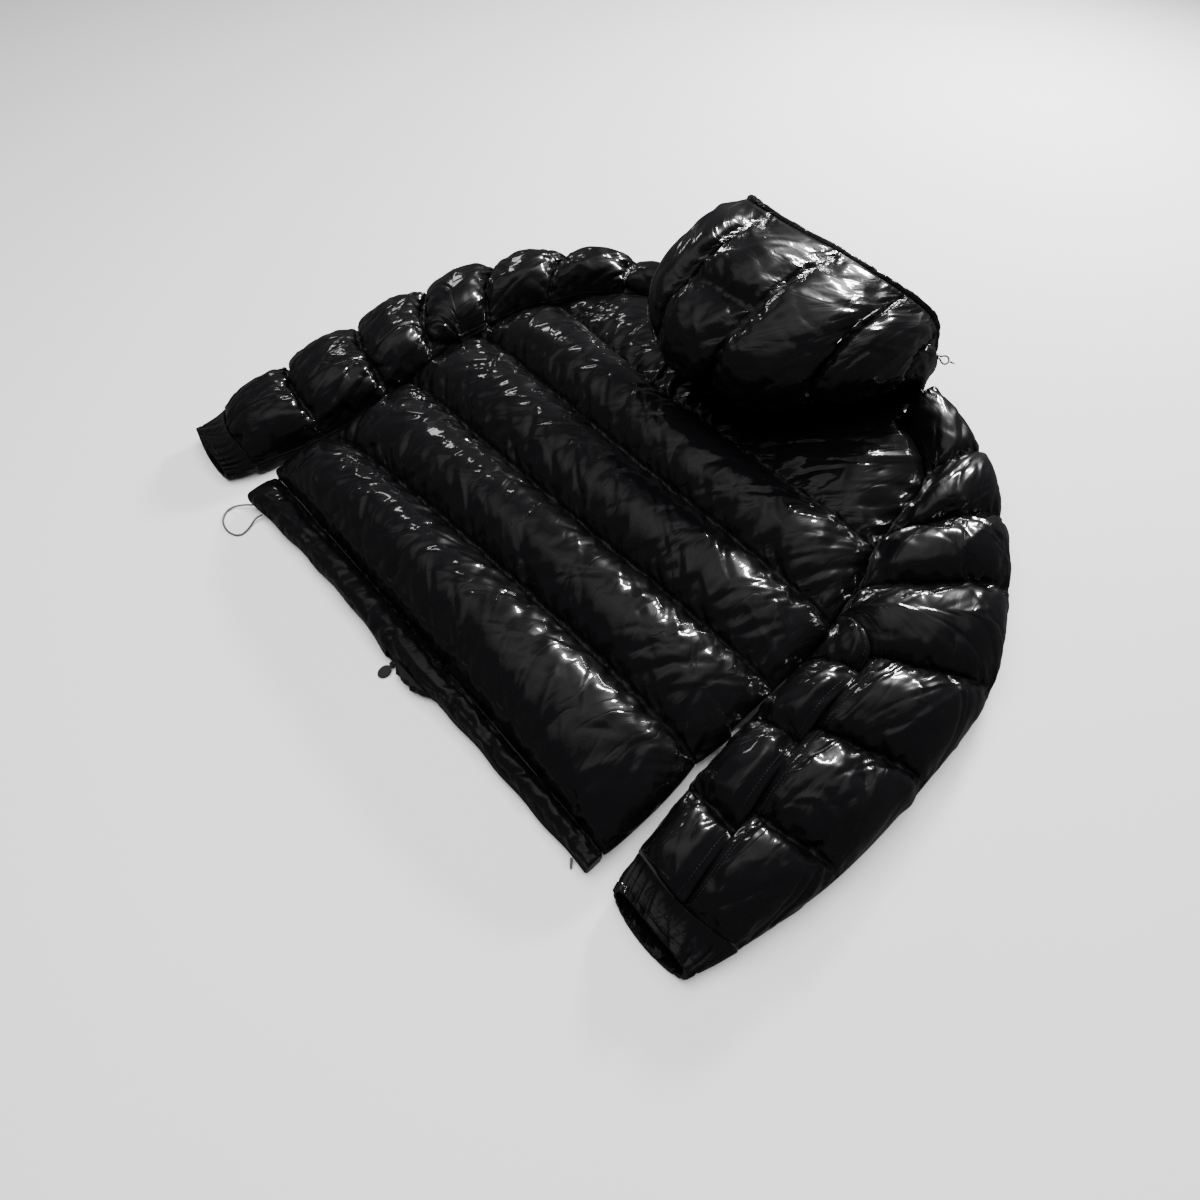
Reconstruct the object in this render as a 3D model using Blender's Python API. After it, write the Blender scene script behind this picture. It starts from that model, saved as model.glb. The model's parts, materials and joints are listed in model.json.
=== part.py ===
"""Hooded puffer jacket in glossy nylon, lying face down with its back up.

Metres, +Z up. The spine runs along +Y from the hem to the hood, the wearer's right is at +X,
and the fronts and fore sleeves rest on z = 0. The garment lies in two layers that meet in one
flat plane: fronts and fore sleeves below, back and upper sleeves on them. Every padded piece is
quilted in its outer points over a plain inner side.
"""

import math
from collections import namedtuple

import bmesh
import bpy
from mathutils import Vector

# ---------------------------------------------------------------- driving dimensions

SEAM_GAP = 0.0003        # between pieces that are sewn together or lie on each other
ARMHOLE_GAP = 0.0009     # the same at an armhole, whose two curved edges have their own chords
LAYER = 0.022            # height of the lower layer, where the upper one lies on it
EDGE = 0.003             # thickness of a padded panel at its sewn edge
HEM_HALF = 0.300         # half the width of the hem
ARMPIT_Y = 0.200         # where the sleeve parts from the body
FRONT_NECK_Y = 0.564     # lowest point of the front neckline
ZIP_HALF = 0.0100        # from the middle of the zip to the edge of each front

BACK_COLUMNS = 37        # grid of the back's outer side: across, and up a channel and the yoke
BACK_STEPS = 6
YOKE_STEPS = 8
YOKE_CROWDING = 1.6      # crowds its rows towards the neckline, where the armhole bends most
SEAM_GATHER = 0.0016     # waves along a sewn line of the back
SIDE_SWELL = 0.005       # how far a channel's end swells over the side seam
BACK_VALLEY = 0.026      # rise of the sewn lines of the back over its edge, at the spine
BACK_CROWN = 0.031       # rise of a channel over the sewn lines beside it
YOKE_CROWN = 0.012       # the same on the yoke, which the hood weighs down
HEM_THICK = 0.0125       # the back's hem band, puffed by the elastic in it
HEM_PLANE = (0.0125, 0.0185)   # height of the plane between the hem bands: side seam and zip
RIBS_X, RIBS_SPREAD = 0.032, 0.036   # where the front hem is gathered in ribs beside the zip
RIB_PITCH, RIB_DEPTH = 0.0125, 0.0016
SLEEVE_VALLEY = {"left": 0.032, "right": 0.026}   # rise of a sleeve's sewn lines over its edge
ELBOW_RISE = 0.78        # height of the elbow seam, as a share of the sleeve's beside it
CUFF_WALL = 0.004

# The garment is drawn with the middle of its hem at x = y = 0 and then moved by this much, so
# that the middle of its footprint is at the origin.
TO_ORIGIN = Vector((-0.0028, -0.3595, 0.0))

# ---------------------------------------------------------------- tables

# Sewn lines across the back: where each meets the left edge, the spine and the right edge (y).
Line = namedtuple("Line", "name left middle right")
BACK_LINES = (
    Line("hem seam", 0.046, 0.030, 0.012),
    Line("first", 0.130, 0.138, 0.134),
    Line("second", 0.258, 0.243, 0.246),
    Line("third", 0.384, 0.356, 0.349),
    Line("fourth", 0.506, 0.462, 0.465),
    Line("neckline", 0.655, 0.602, 0.665),
)

# Free edge of the hem band: y of the back's band and of the fronts' bands across the hem.
Hem = namedtuple("Hem", "x back front")
HEM_EDGES = (
    Hem(-0.300, 0.0040, 0.0060),
    Hem(-0.200, 0.0070, 0.0080),
    Hem(-0.100, 0.0050, 0.0060),
    Hem(-0.035, 0.0005, 0.0010),
    Hem(-0.010, -0.0015, -0.0040),
    Hem(0.020, -0.0020, -0.0095),
    Hem(0.045, -0.0010, -0.0080),
    Hem(0.065, 0.0000, 0.0000),
    Hem(0.120, 0.0010, 0.0000),
    Hem(0.200, -0.0020, -0.0035),
    Hem(0.300, -0.0050, -0.0065),
)

# Sewn lines across a sleeve, from the sleeve head to the cuff seam: the end at the armhole or
# inner edge, the end at the outer edge, the elbow seam's place between them (0 to 1), and the
# rise of the crown of the channel that starts there.
Station = namedtuple("Station", "name inner_x inner_y outer_x outer_y elbow crown")
SLEEVE_RIGHT = (
    Station("head", 0.160, 0.668, 0.166, 0.730, 0.00, 0.022),
    Station("cap", 0.238, 0.600, 0.262, 0.684, 0.00, 0.026),
    Station("first", 0.258, 0.480, 0.334, 0.610, 0.00, 0.027),
    Station("second", 0.282, 0.400, 0.395, 0.525, 0.00, 0.027),
    Station("third", 0.297, 0.315, 0.448, 0.400, 0.31, 0.027),
    Station("fourth", 0.302, 0.225, 0.459, 0.270, 0.34, 0.027),
    Station("fifth", 0.309, 0.130, 0.456, 0.145, 0.41, 0.023),
    Station("cuff seam", 0.321, 0.036, 0.436, 0.038, 0.53, 0.000),
)
SLEEVE_LEFT = (
    Station("head", -0.160, 0.658, -0.170, 0.714, 0.00, 0.022),
    Station("cap", -0.268, 0.594, -0.300, 0.660, 0.00, 0.024),
    Station("first", -0.320, 0.500, -0.372, 0.594, 0.00, 0.026),
    Station("second", -0.337, 0.405, -0.430, 0.498, 0.00, 0.027),
    Station("third", -0.333, 0.305, -0.452, 0.390, 0.26, 0.027),
    Station("fourth", -0.325, 0.225, -0.453, 0.268, 0.28, 0.026),
    Station("fifth", -0.321, 0.124, -0.446, 0.156, 0.36, 0.022),
    Station("cuff seam", -0.337, 0.036, -0.441, 0.060, 0.50, 0.000),
)
# Station numbers at which the elbow seam leaves the armhole, bends, and runs on down the sleeve.
ELBOW_START, ELBOW_BEND, ELBOW_END = 3.5, 3.8, 4.0
ELBOW_GAP = 0.0015       # from the elbow seam to each edge, as a share of the sleeve's width
UNDER_SHIFT = -0.22      # the under sleeve's sewn lines lie this far down the sleeve, in stations
SLEEVE_BOW = 0.010       # how far a sewn line of a sleeve bows towards the cuff
HEAD_START = 0.35        # the head ends this far into its channel, under the hood

# Side of the body below the armpit: half width at each height up the back.
Side = namedtuple("Side", "y left right")
SIDES = (
    Side(-0.010, -0.300, 0.303),
    Side(0.050, -0.301, 0.300),
    Side(0.130, -0.304, 0.298),
    Side(0.200, -0.315, 0.299),
)

# Rings of the hood, from the neck seam to the rim. Each passes through a back point over the
# spine, a side point on each side and a front point on the surface. peak raises its left
# shoulder and droop lowers its right one; square is the exponent of its corners, smaller for
# squarer, and flat is that of its front half, which lies flat and turns up at the sides. heart
# is a point of the hollow over the spine, which the ring's inner wall faces.
Ring = namedtuple("Ring", "name back_y back_z side_y side_z front_y front_z left right "
                          "peak droop square flat heart_y heart_z")
HOOD_RINGS = (
    Ring("neck seam", 0.607, 0.042, 0.643, 0.038, 0.567, 0.0115, 0.108, 0.108,
         0.000, 0.000, 0.80, 0.35, 0.664, 0.074),
    Ring("over the neck", 0.588, 0.078, 0.658, 0.046, 0.573, 0.0105, 0.119, 0.119,
         0.000, 0.000, 0.78, 0.33, 0.650, 0.120),
    Ring("over the yoke", 0.500, 0.096, 0.664, 0.074, 0.592, 0.0100, 0.138, 0.144,
         0.000, 0.000, 0.70, 0.32, 0.601, 0.149),
    Ring("nape fold", 0.447, 0.132, 0.656, 0.092, 0.615, 0.0095, 0.143, 0.154,
         0.002, 0.004, 0.68, 0.45, 0.561, 0.139),
    Ring("back of head", 0.458, 0.180, 0.649, 0.104, 0.640, 0.0090, 0.143, 0.157,
         0.003, 0.008, 0.62, 0.55, 0.565, 0.120),
    Ring("crown", 0.535, 0.211, 0.674, 0.110, 0.665, 0.0085, 0.147, 0.150,
         0.006, 0.015, 0.58, 0.65, 0.600, 0.110),
    Ring("rim", 0.646, 0.208, 0.722, 0.100, 0.700, 0.0080, 0.159, 0.144,
         0.010, 0.020, 0.56, 0.75, 0.673, 0.109),
)
LEFT_SQUARER = 0.10      # the left corners are this much squarer
HOOD_WALL = 0.007        # wall of the hood along its sewn lines
HOOD_CROWN = 0.0105      # rise of its padding between them
RIM_RADIUS = 0.0045      # of the casing round the rim
# Sewn lines of the hood as angles round each ring, from the front over the right side.
HOOD_SEAM_RIGHT = 142.0  # between the right side and the centre
HOOD_SEAM_LEFT = 193.0   # between the centre and the left side
HOOD_LINES = (0.0, 48.0, 96.0, HOOD_SEAM_RIGHT, 177.0, HOOD_SEAM_LEFT, 238.0, 300.0, 360.0)
HOOD_CROSS_RING = 4.6    # ring number of the sewn line across the left half of the centre
HOOD_FRONT_ANGLE = 5.0   # where each side ends beside the zip
HOOD_SEAM_ANGLE = 0.20   # a seam's gap as an angle, at the hood's width
YOKE_CLEARANCE = 0.0020  # between the yoke and the hood that lies over it
YOKE_Y = (0.48, 0.66)    # the yoke under the hood, from its first line to its neck end, and its
YOKE_HALF = (0.26, 0.16)   # half width at each
NECK_CLEARANCE = (0.0030, 0.0340)   # from the front neckline to the hood: middle and shoulders
RIM_GAP = 0.0019         # between the hood's wall and its rim casing

# Cuffs: both ends of the mouth, its height and the seam's, how far its lower lip stands out and
# how far the mouth bows.
Cuff = namedtuple("Cuff", "mouth_inner mouth_outer seam_height mouth_height lip bow")
CUFFS = {
    "right": Cuff((0.3285, 0.004), (0.4210, -0.003), 0.038, 0.033, 0.009, 0.004),
    "left": Cuff((-0.3530, 0.006), (-0.4460, 0.017), 0.046, 0.031, 0.003, 0.003),
}
CUFF_GATHERS = 12
CUFF_COLUMNS, CUFF_ROWS = 36, 6
GATHER_DEPTH = 0.0014

# Zip, with its outer face down. The slider's pin carries the pull tab.
TAPE_Z = (0.0060, 0.0074)
TAPE_X = (0.0036, 0.0097)
CHAIN_Z = (0.0050, 0.0084)
CHAIN_HALF = 0.0033
CHAIN_Y = 0.0140
SLIDER_Y = (-0.0010, 0.0125)
PIN_Y, PIN_Z, PIN_RADIUS = -0.0035, 0.0045, 0.0008
EYE_RADIUS, EYE_HOLE = 0.0022, 0.0012
PULL_HALF_THICK = 0.0010
PULL_TILT = 10.0         # degrees that its free end hangs down, to just above the surface
TAB_MIDDLE_Y = -0.0146
TAB_HALF = (0.0062, 0.0078)

# Cords. The hem cord's route lies on the surface and has both ends at the hem. The hood cord's
# loop is given from its barrel: how far out, aside and up each point is.
HEM_CORD_RADIUS = 0.0011
HEM_CORD_ROUTE = (
    (-0.2962, 0.0045, 0.0080), (-0.3030, -0.0008, 0.0068), (-0.3095, -0.0058, 0.0044),
    (-0.3147, -0.0120, 0.0024), (-0.3152, -0.0207, 0.0014), (-0.3099, -0.0282, 0.0012),
    (-0.3032, -0.0329, 0.0012), (-0.2939, -0.0357, 0.0012), (-0.2842, -0.0358, 0.0012),
    (-0.2765, -0.0334, 0.0012), (-0.2725, -0.0303, 0.0012), (-0.2707, -0.0261, 0.0012),
    (-0.2719, -0.0194, 0.0012), (-0.2752, -0.0119, 0.0016), (-0.2773, -0.0060, 0.0034),
    (-0.2768, -0.0008, 0.0060), (-0.2746, 0.0050, 0.0076),
)
HEM_CORD_END = ((0.2795, -0.0065, 0.0062), (0.2850, -0.0124, 0.0014))
HEM_CORD_END_RADII = (0.0013, 0.0013, 0.0009)
HOOD_CORD_RADIUS = 0.0008
HOOD_CORD_ANGLE = 81.0   # where its barrel sits on the rim casing
HOOD_CORD_OUT = (0.94, 0.34)   # direction from the rim, in plan
HOOD_CORD_ROUTE = (
    (0.0007, 0.0000, 0.0013), (0.0024, 0.0015, 0.0013), (0.0052, 0.0045, 0.0008),
    (0.0084, 0.0062, 0.0000), (0.0112, 0.0045, -0.0010), (0.0124, 0.0008, -0.0020),
    (0.0120, -0.0030, -0.0025), (0.0092, -0.0062, -0.0028), (0.0056, -0.0055, -0.0025),
    (0.0024, -0.0020, -0.0016), (0.0007, 0.0000, -0.0013),
)
BARREL_RADIUS, BARREL_HALF = 0.0026, 0.0036
HOOD_CORD_TIP = ((0.0139, 0.0003, -0.0020), (0.0214, 0.0003, -0.0032))
HOOD_CORD_TIP_RADII = (0.0011, 0.0010, 0.0004)

# ---------------------------------------------------------------- finishes

Finish = namedtuple("Finish", "name colour roughness metallic")
NYLON = Finish("black nylon", (0.012, 0.012, 0.014, 1.0), 0.16, 0.0)
TAPE = Finish("black zip tape", (0.016, 0.016, 0.017, 1.0), 0.80, 0.0)
PLASTIC = Finish("black plastic", (0.014, 0.014, 0.015, 1.0), 0.42, 0.0)
ELASTIC = Finish("grey elastic cord", (0.075, 0.075, 0.080, 1.0), 0.70, 0.0)


def material_for(finish, node):
    """Makes the node's own Principled material."""
    material = bpy.data.materials.new(f"{finish.name} {node}")
    material.use_nodes = True
    shader = material.node_tree.nodes["Principled BSDF"]
    shader.inputs["Base Color"].default_value = finish.colour
    shader.inputs["Roughness"].default_value = finish.roughness
    shader.inputs["Metallic"].default_value = finish.metallic
    return material


# ---------------------------------------------------------------- small mathematics

def mix(a, b, t):
    """Goes from a to b as t goes from 0 to 1."""
    return a + (b - a) * t


def smooth_read(values, place):
    """Reads a list of numbers at a fractional place, along a curve through all of them."""
    last = len(values) - 1
    place = min(max(place, 0.0), float(last))
    i = min(int(place), last - 1)
    t = place - i
    p1, p2 = values[i], values[i + 1]
    p0 = values[i - 1] if i > 0 else 2 * p1 - p2
    p3 = values[i + 2] if i + 2 <= last else 2 * p2 - p1
    slope_1, slope_2 = (p2 - p0) / 2, (p3 - p1) / 2
    return ((2 * t**3 - 3 * t**2 + 1) * p1 + (t**3 - 2 * t**2 + t) * slope_1
            + (3 * t**2 - 2 * t**3) * p2 + (t**3 - t**2) * slope_2)


def straight_read(xs, ys, x):
    """Reads y at x from a table, straight between its rows."""
    if x <= xs[0]:
        return ys[0]
    for i in range(len(xs) - 1):
        if x <= xs[i + 1]:
            return mix(ys[i], ys[i + 1], (x - xs[i]) / (xs[i + 1] - xs[i]))
    return ys[-1]


def plateau(u, sharpness=4.0):
    """A pillow's profile: 0 at u = 0 and 1, close to 1 in between."""
    return math.sqrt(max(0.0, 1.0 - abs(2 * u - 1) ** sharpness))


def crown(f):
    """A channel's profile across its width: 0 at its sewn lines, 1 in the middle."""
    return math.sin(math.pi * min(max(f, 0.0), 1.0)) ** 0.62


def spread(count):
    """Fractions from 0 to 1, closer together towards both ends."""
    return [0.5 * (1 - math.cos(math.pi * i / (count - 1))) for i in range(count)]


# ---------------------------------------------------------------- making solids

def add_object(node, mesh_points, faces, finish):
    """Makes one closed solid with its faces pointing out, moved to the origin's frame."""
    body = bmesh.new()
    vertices = [body.verts.new(Vector(p) + TO_ORIGIN) for p in mesh_points]
    for face in faces:
        body.faces.new([vertices[i] for i in face])
    bmesh.ops.recalc_face_normals(body, faces=body.faces)
    mesh = bpy.data.meshes.new(node)
    body.to_mesh(mesh)
    body.free()
    mesh.materials.append(material_for(finish, node))
    mesh.shade_smooth()
    mesh.set_sharp_from_angle(angle=math.radians(50))
    solid = bpy.data.objects.new(node, mesh)
    bpy.context.scene.collection.objects.link(solid)
    return solid


def add_wall(node, outer, inner, finish, flat_inner=False, ring=False):
    """Makes a solid between two grids of points, outer[row][column] and inner[row][column].

    With flat_inner the inner grid lies in one plane and only its edge is used, as one face.
    With ring the columns close on themselves.
    """
    rows, columns = len(outer), len(outer[0])
    points = [p for row in outer for p in row]

    def at(i, j):
        return i * columns + j % columns

    span = columns if ring else columns - 1
    faces = [(at(i, j), at(i, j + 1), at(i + 1, j + 1), at(i + 1, j))
             for i in range(rows - 1) for j in range(span)]
    if ring:
        edges = [[(0, j) for j in range(columns)], [(rows - 1, j) for j in range(columns)]]
    else:
        edges = [[(0, j) for j in range(columns - 1)]
                 + [(i, columns - 1) for i in range(rows - 1)]
                 + [(rows - 1, j) for j in range(columns - 1, 0, -1)]
                 + [(i, 0) for i in range(rows - 1, 0, -1)]]
    if flat_inner:
        start = len(points)
        border = edges[0]
        points += [inner[i][j] for i, j in border]
        faces.append(tuple(start + k for k in range(len(border))))
        partner = {place: start + k for k, place in enumerate(border)}
    else:
        start = len(points)
        points += [p for row in inner for p in row]
        faces += [tuple(start + k for k in reversed(face)) for face in list(faces)]
        partner = {(i, j): start + at(i, j) for i in range(rows) for j in range(columns)}
    for border in edges:
        for k, place in enumerate(border):
            following = border[(k + 1) % len(border)]
            faces.append((at(*place), at(*following), partner[following], partner[place]))
    return add_object(node, points, faces, finish)


def add_slab(node, outline, height, finish):
    """Makes a flat-bottomed padded slab from an outline of (x, y, tuck) points.

    The wall bulges outwards halfway up. tuck is how far the resting face lies inside the
    outline there, large on a free round edge and small along a seam.
    """
    count = len(outline)
    area = sum(outline[i][0] * outline[(i + 1) % count][1]
               - outline[(i + 1) % count][0] * outline[i][1] for i in range(count))
    turn = 1.0 if area > 0 else -1.0
    levels = ((0.0, 1.0), (0.28 * height, 0.34), (0.66 * height, 0.0), (height, 0.12))
    points = []
    for z, share in levels:
        for i, (x, y, tuck) in enumerate(outline):
            before, after = outline[i - 1], outline[(i + 1) % count]
            along = Vector((after[0] - before[0], after[1] - before[1])).normalized()
            inward = Vector((-along.y, along.x)) * turn
            points.append((x + inward.x * tuck * share, y + inward.y * tuck * share, z))
    faces = [tuple(range(count)), tuple(3 * count + i for i in range(count))]
    for level in range(3):
        low, high = level * count, (level + 1) * count
        faces += [(low + i, low + (i + 1) % count, high + (i + 1) % count, high + i)
                  for i in range(count)]
    return add_object(node, points, faces, finish)


def add_box(node, lows, highs, finish):
    """Makes a plain box between two corners."""
    (x0, y0, z0), (x1, y1, z1) = lows, highs
    points = [(x, y, z) for z in (z0, z1) for y in (y0, y1) for x in (x0, x1)]
    faces = [(0, 1, 3, 2), (4, 5, 7, 6), (0, 1, 5, 4), (2, 3, 7, 6), (0, 2, 6, 4), (1, 3, 7, 5)]
    return add_object(node, points, faces, finish)


# ---------------------------------------------------------------- the body's outline

def sleeve_table(side):
    """Gives the rows of one sleeve."""
    return SLEEVE_RIGHT if side == "right" else SLEEVE_LEFT


def sleeve_end(side, end, place):
    """Point (x, y) on the inner or outer edge of a sleeve at a fractional station number."""
    rows = sleeve_table(side)
    return (smooth_read([getattr(row, end + "_x") for row in rows], place),
            smooth_read([getattr(row, end + "_y") for row in rows], place))


def armhole_points(side, steps=36):
    """Points up the armhole from the armpit to the neck end of the sleeve head."""
    points = []
    for i in range(steps + 1):
        x, y = sleeve_end(side, "inner", mix(4.35, 0.0, i / steps))
        if y >= ARMPIT_Y:
            points.append((x, y))
    return points


def side_sign(side):
    """1 on the wearer's right and -1 on the left."""
    return 1.0 if side == "right" else -1.0


def body_armhole(side):
    """The body's edge at the armhole: the sleeve's edge moved in by the gap between them."""
    hole = armhole_points(side)
    moved = []
    for i, (x, y) in enumerate(hole):
        before, after = hole[max(i - 1, 0)], hole[min(i + 1, len(hole) - 1)]
        along = Vector((after[0] - before[0], after[1] - before[1])).normalized()
        moved.append((x - side_sign(side) * along.y * ARMHOLE_GAP,
                      y - abs(along.x) * ARMHOLE_GAP))
    return moved


def body_edge(side, y):
    """x of the body's edge at height y up the back, at the side seam or the armhole."""
    below = [getattr(row, side) for row in SIDES]
    if y <= ARMPIT_Y:
        return straight_read([row.y for row in SIDES], below, y)
    hole = body_armhole(side)
    return straight_read([ARMPIT_Y] + [at[1] for at in hole], [below[-1]] + [at[0] for at in hole], y)


def line_y(number, u):
    """y of a sewn line of the back at u from the left edge (0) to the right one (1)."""
    line = [smooth_read([getattr(row, part) for row in BACK_LINES], number)
            for part in ("left", "middle", "right")]
    return ((2 * u - 1) * (u - 1) * line[0] + 4 * u * (1 - u) * line[1]
            + u * (2 * u - 1) * line[2])


def back_bed(u):
    """Height of the sewn lines of the back over its edge."""
    return BACK_VALLEY * plateau(u, 3.2)


def build_back():
    """The back: four channels and the yoke, quilted over a flat inner side."""
    channels = len(BACK_LINES) - 1
    numbers = [i / BACK_STEPS for i in range((channels - 1) * BACK_STEPS)]
    numbers += [channels - (1 - i / YOKE_STEPS) ** YOKE_CROWDING for i in range(YOKE_STEPS + 1)]
    us = spread(BACK_COLUMNS)
    outer, inner = [], []
    for number in numbers:
        channel = min(int(number), channels - 1)
        f = number - channel
        left = body_edge("left", line_y(number, 0.0))
        right = body_edge("right", line_y(number, 1.0))
        rise = YOKE_CROWN if channel == channels - 1 else BACK_CROWN
        row, floor_row = [], []
        for u in us:
            x = mix(left, right, u)
            y = line_y(number, u) + 2 * SEAM_GAP
            gather = SEAM_GATHER * math.sin(2 * math.pi * (u * 11 + 0.37 * channel))
            bed = back_bed(u) + gather * (1 - crown(f)) * plateau(u, 3.2)
            if number in (0, channels):
                bed *= 0.35
            height = LAYER + EDGE + bed + rise * crown(f) * plateau(u, 5.0)
            free_side = line_y(number, u) < ARMPIT_Y - 0.02
            swell = SIDE_SWELL * crown(f) * (2 * u - 1) ** 9 if free_side else 0.0
            row.append((x + swell, y, height))
            floor_row.append((x, y, LAYER + SEAM_GAP))
        outer.append(row)
        inner.append(floor_row)
    return add_wall("back_panel", outer, inner, NYLON, flat_inner=True)


def yoke_height(x, y):
    """Height of the yoke's outer side under a point, or of the plane below it off the yoke."""
    top = len(BACK_LINES) - 1
    up = min(max((y - YOKE_Y[0]) / (YOKE_Y[1] - YOKE_Y[0]), 0.0), 1.0)
    u = 0.5 + 0.5 * x / mix(*YOKE_HALF, up)
    if not 0.0 < u < 1.0 or y > line_y(top, u):
        return 0.0
    return LAYER + EDGE + back_bed(u) + YOKE_CROWN


def scallop(f, depth=0.004):
    """How far a free edge draws in, from a sewn line (f = 0 or 1) to the middle of a channel."""
    return depth * (1.0 - crown(f))


def build_front(side):
    """One front: a flat slab under its half of the back, from the zip to the side seam."""
    sign = side_sign(side)
    outline = []
    hem_steps, side_steps, neck_steps = 12, 14, 14
    for i in range(hem_steps + 1):
        x = sign * mix(ZIP_HALF, HEM_HALF - 0.003, i / hem_steps)
        u = 0.5 + 0.5 * x / HEM_HALF
        outline.append((x, line_y(0.0, u) + 2 * SEAM_GAP, 0.001))
    end_y = outline[-1][1]
    line_ys = [getattr(row, side) for row in BACK_LINES]
    for i in range(1, side_steps + 1):
        y = mix(end_y, ARMPIT_Y, i / side_steps)
        number = straight_read(line_ys, list(range(len(line_ys))), y)
        outline.append((body_edge(side, y) - sign * scallop(number % 1.0), y, 0.012))
    outline += [(x, y, 0.001) for x, y in body_armhole(side)[1:]]
    for i in range(neck_steps + 1):
        degrees = mix(88.0, HOOD_FRONT_ANGLE + 3.0, i / neck_steps)
        angle = math.radians(degrees)
        x, y, _ = hood_point(0.0, angle if side == "right" else 2 * math.pi - angle, 0.0)
        away = mix(*NECK_CLEARANCE, math.sin(angle) ** 4)
        outline.append((x + sign * away, y - 0.6 * away, 0.001))
    outline.append((sign * ZIP_HALF, outline[-1][1] - 0.001, 0.001))
    return add_slab(f"front_{side}", outline, LAYER, NYLON)


# ---------------------------------------------------------------- hem band

def hem_height(x):
    """Height of the plane between the two hem bands: higher over the zip, lower at the sides."""
    return mix(*HEM_PLANE, math.cos(min(abs(x) / HEM_HALF, 1.0) * math.pi / 2) ** 2)


def hem_edge(x, layer):
    """y of the free edge of the back's or the fronts' hem band, gently waved."""
    edge = straight_read([row.x for row in HEM_EDGES], [getattr(row, layer) for row in HEM_EDGES], x)
    return edge + 0.0008 * math.sin(x * 95.0 + 1.0)


def add_band(node, x_from, x_to, columns, section):
    """Makes a hem band from its section, a function of x that gives (y, z) points."""
    sections = []
    for i in range(columns):
        x = mix(x_from, x_to, i / (columns - 1))
        sections.append([(x, y, z) for y, z in section(x)])
    size = len(sections[0])
    points = [point for one in sections for point in one]
    faces = [(i * size + k, i * size + (k + 1) % size, (i + 1) * size + (k + 1) % size,
              (i + 1) * size + k) for i in range(columns - 1) for k in range(size)]
    faces.append(tuple(range(size)))
    faces.append(tuple((columns - 1) * size + k for k in range(size)))
    return add_object(node, points, faces, NYLON)


def back_band_section(x):
    """Rounded section of the back's hem band, from its seam down to its free edge and back."""
    seam, edge = line_y(0.0, 0.5 + 0.5 * x / HEM_HALF), hem_edge(x, "back")
    low = hem_height(x) + SEAM_GAP
    wave = 0.0011 * math.sin(x * 150.0)
    return ((seam, low), (seam, low + 0.8 * HEM_THICK),
            (mix(seam, edge, 0.35), low + HEM_THICK + wave),
            (mix(seam, edge, 0.75), low + HEM_THICK + wave),
            (edge - wave, low + 0.62 * HEM_THICK), (edge + 0.003, low))


def front_band_section(x):
    """Section of the fronts' hem bands, gathered in ribs beside the zip."""
    seam, edge = line_y(0.0, 0.5 + 0.5 * x / HEM_HALF), hem_edge(x, "front")
    high = hem_height(x)
    beside_zip = math.exp(-((x - RIBS_X) / RIBS_SPREAD) ** 2)
    rib = RIB_DEPTH * beside_zip * math.sin(2 * math.pi * x / RIB_PITCH)
    return ((seam, 0.0), (seam, high), (edge + 0.002 - rib, high), (edge - rib, 0.55 * high),
            (edge + 0.004 - rib, 0.0))


def build_hem():
    """The hem band: one cut under the back and one under each front."""
    add_band("hem_back", -HEM_HALF, HEM_HALF, 61, back_band_section)
    for side in ("left", "right"):
        sign = side_sign(side)
        ends = sorted((sign * ZIP_HALF, sign * (HEM_HALF - 0.002)))
        add_band(f"hem_front_{side}", *ends, 57 if side == "right" else 31, front_band_section)


# ---------------------------------------------------------------- sleeves

def elbow_share(side, place):
    """Where the elbow seam lies between the inner and outer edge, 0 before it starts."""
    shares = [row.elbow for row in sleeve_table(side)]
    if place < ELBOW_END:
        full = shares[int(ELBOW_END)]
        return straight_read([ELBOW_START, ELBOW_BEND, ELBOW_END], [0.0, 0.7 * full, full], place)
    return smooth_read(shares, place)


def sleeve_point(side, place, u):
    """Plan point of a sleeve at a fractional station and u from inner (0) to outer (1)."""
    inner = sleeve_end(side, "inner", place)
    outer = sleeve_end(side, "outer", place)
    bow = SLEEVE_BOW * math.sin(math.pi * u) * min(1.0, place / 1.5)
    return mix(inner[0], outer[0], u), mix(inner[1], outer[1], u) - bow


def sleeve_rise(side, place, u, shift=0.0):
    """Height of the upper sleeve over the flat plane between the layers."""
    rows = sleeve_table(side)
    last = len(rows) - 1
    shifted = min(max(place + shift, 0.0), float(last))
    number = min(int(shifted), last - 1)
    rise = smooth_read([row.crown for row in rows], min(number + 0.5, last - 1.0))
    bed = SLEEVE_VALLEY[side] * min(1.0, 0.45 + 0.275 * place)
    bed *= 1.0 - 0.45 * max(0.0, place - (last - 1.0))
    f = shifted - number
    channel = crown(f) if number > 0 else crown(mix(HEAD_START, 1.0, f))
    return (bed + rise * channel) * plateau(u, 3.0)


def sleeve_grid(side, places, shares, span, seam_share, shift=0.0):
    """Outer and inner grids of a sleeve piece, for add_wall.

    span gives the piece's first and last u at a place; seam_share gives, for a share of that
    span, how much of the full height is left beside the elbow seam.
    """
    outer, inner = [], []
    for place in places:
        first, end = span(place)
        row, floor_row = [], []
        for share in shares:
            u = mix(first, end, share)
            x, y = sleeve_point(side, place, u)
            rise = sleeve_rise(side, place, u, shift) * seam_share(place, share)
            row.append((x, y, LAYER + EDGE + rise))
            floor_row.append((x, y, LAYER + SEAM_GAP))
        outer.append(row)
        inner.append(floor_row)
    return outer, inner


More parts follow.
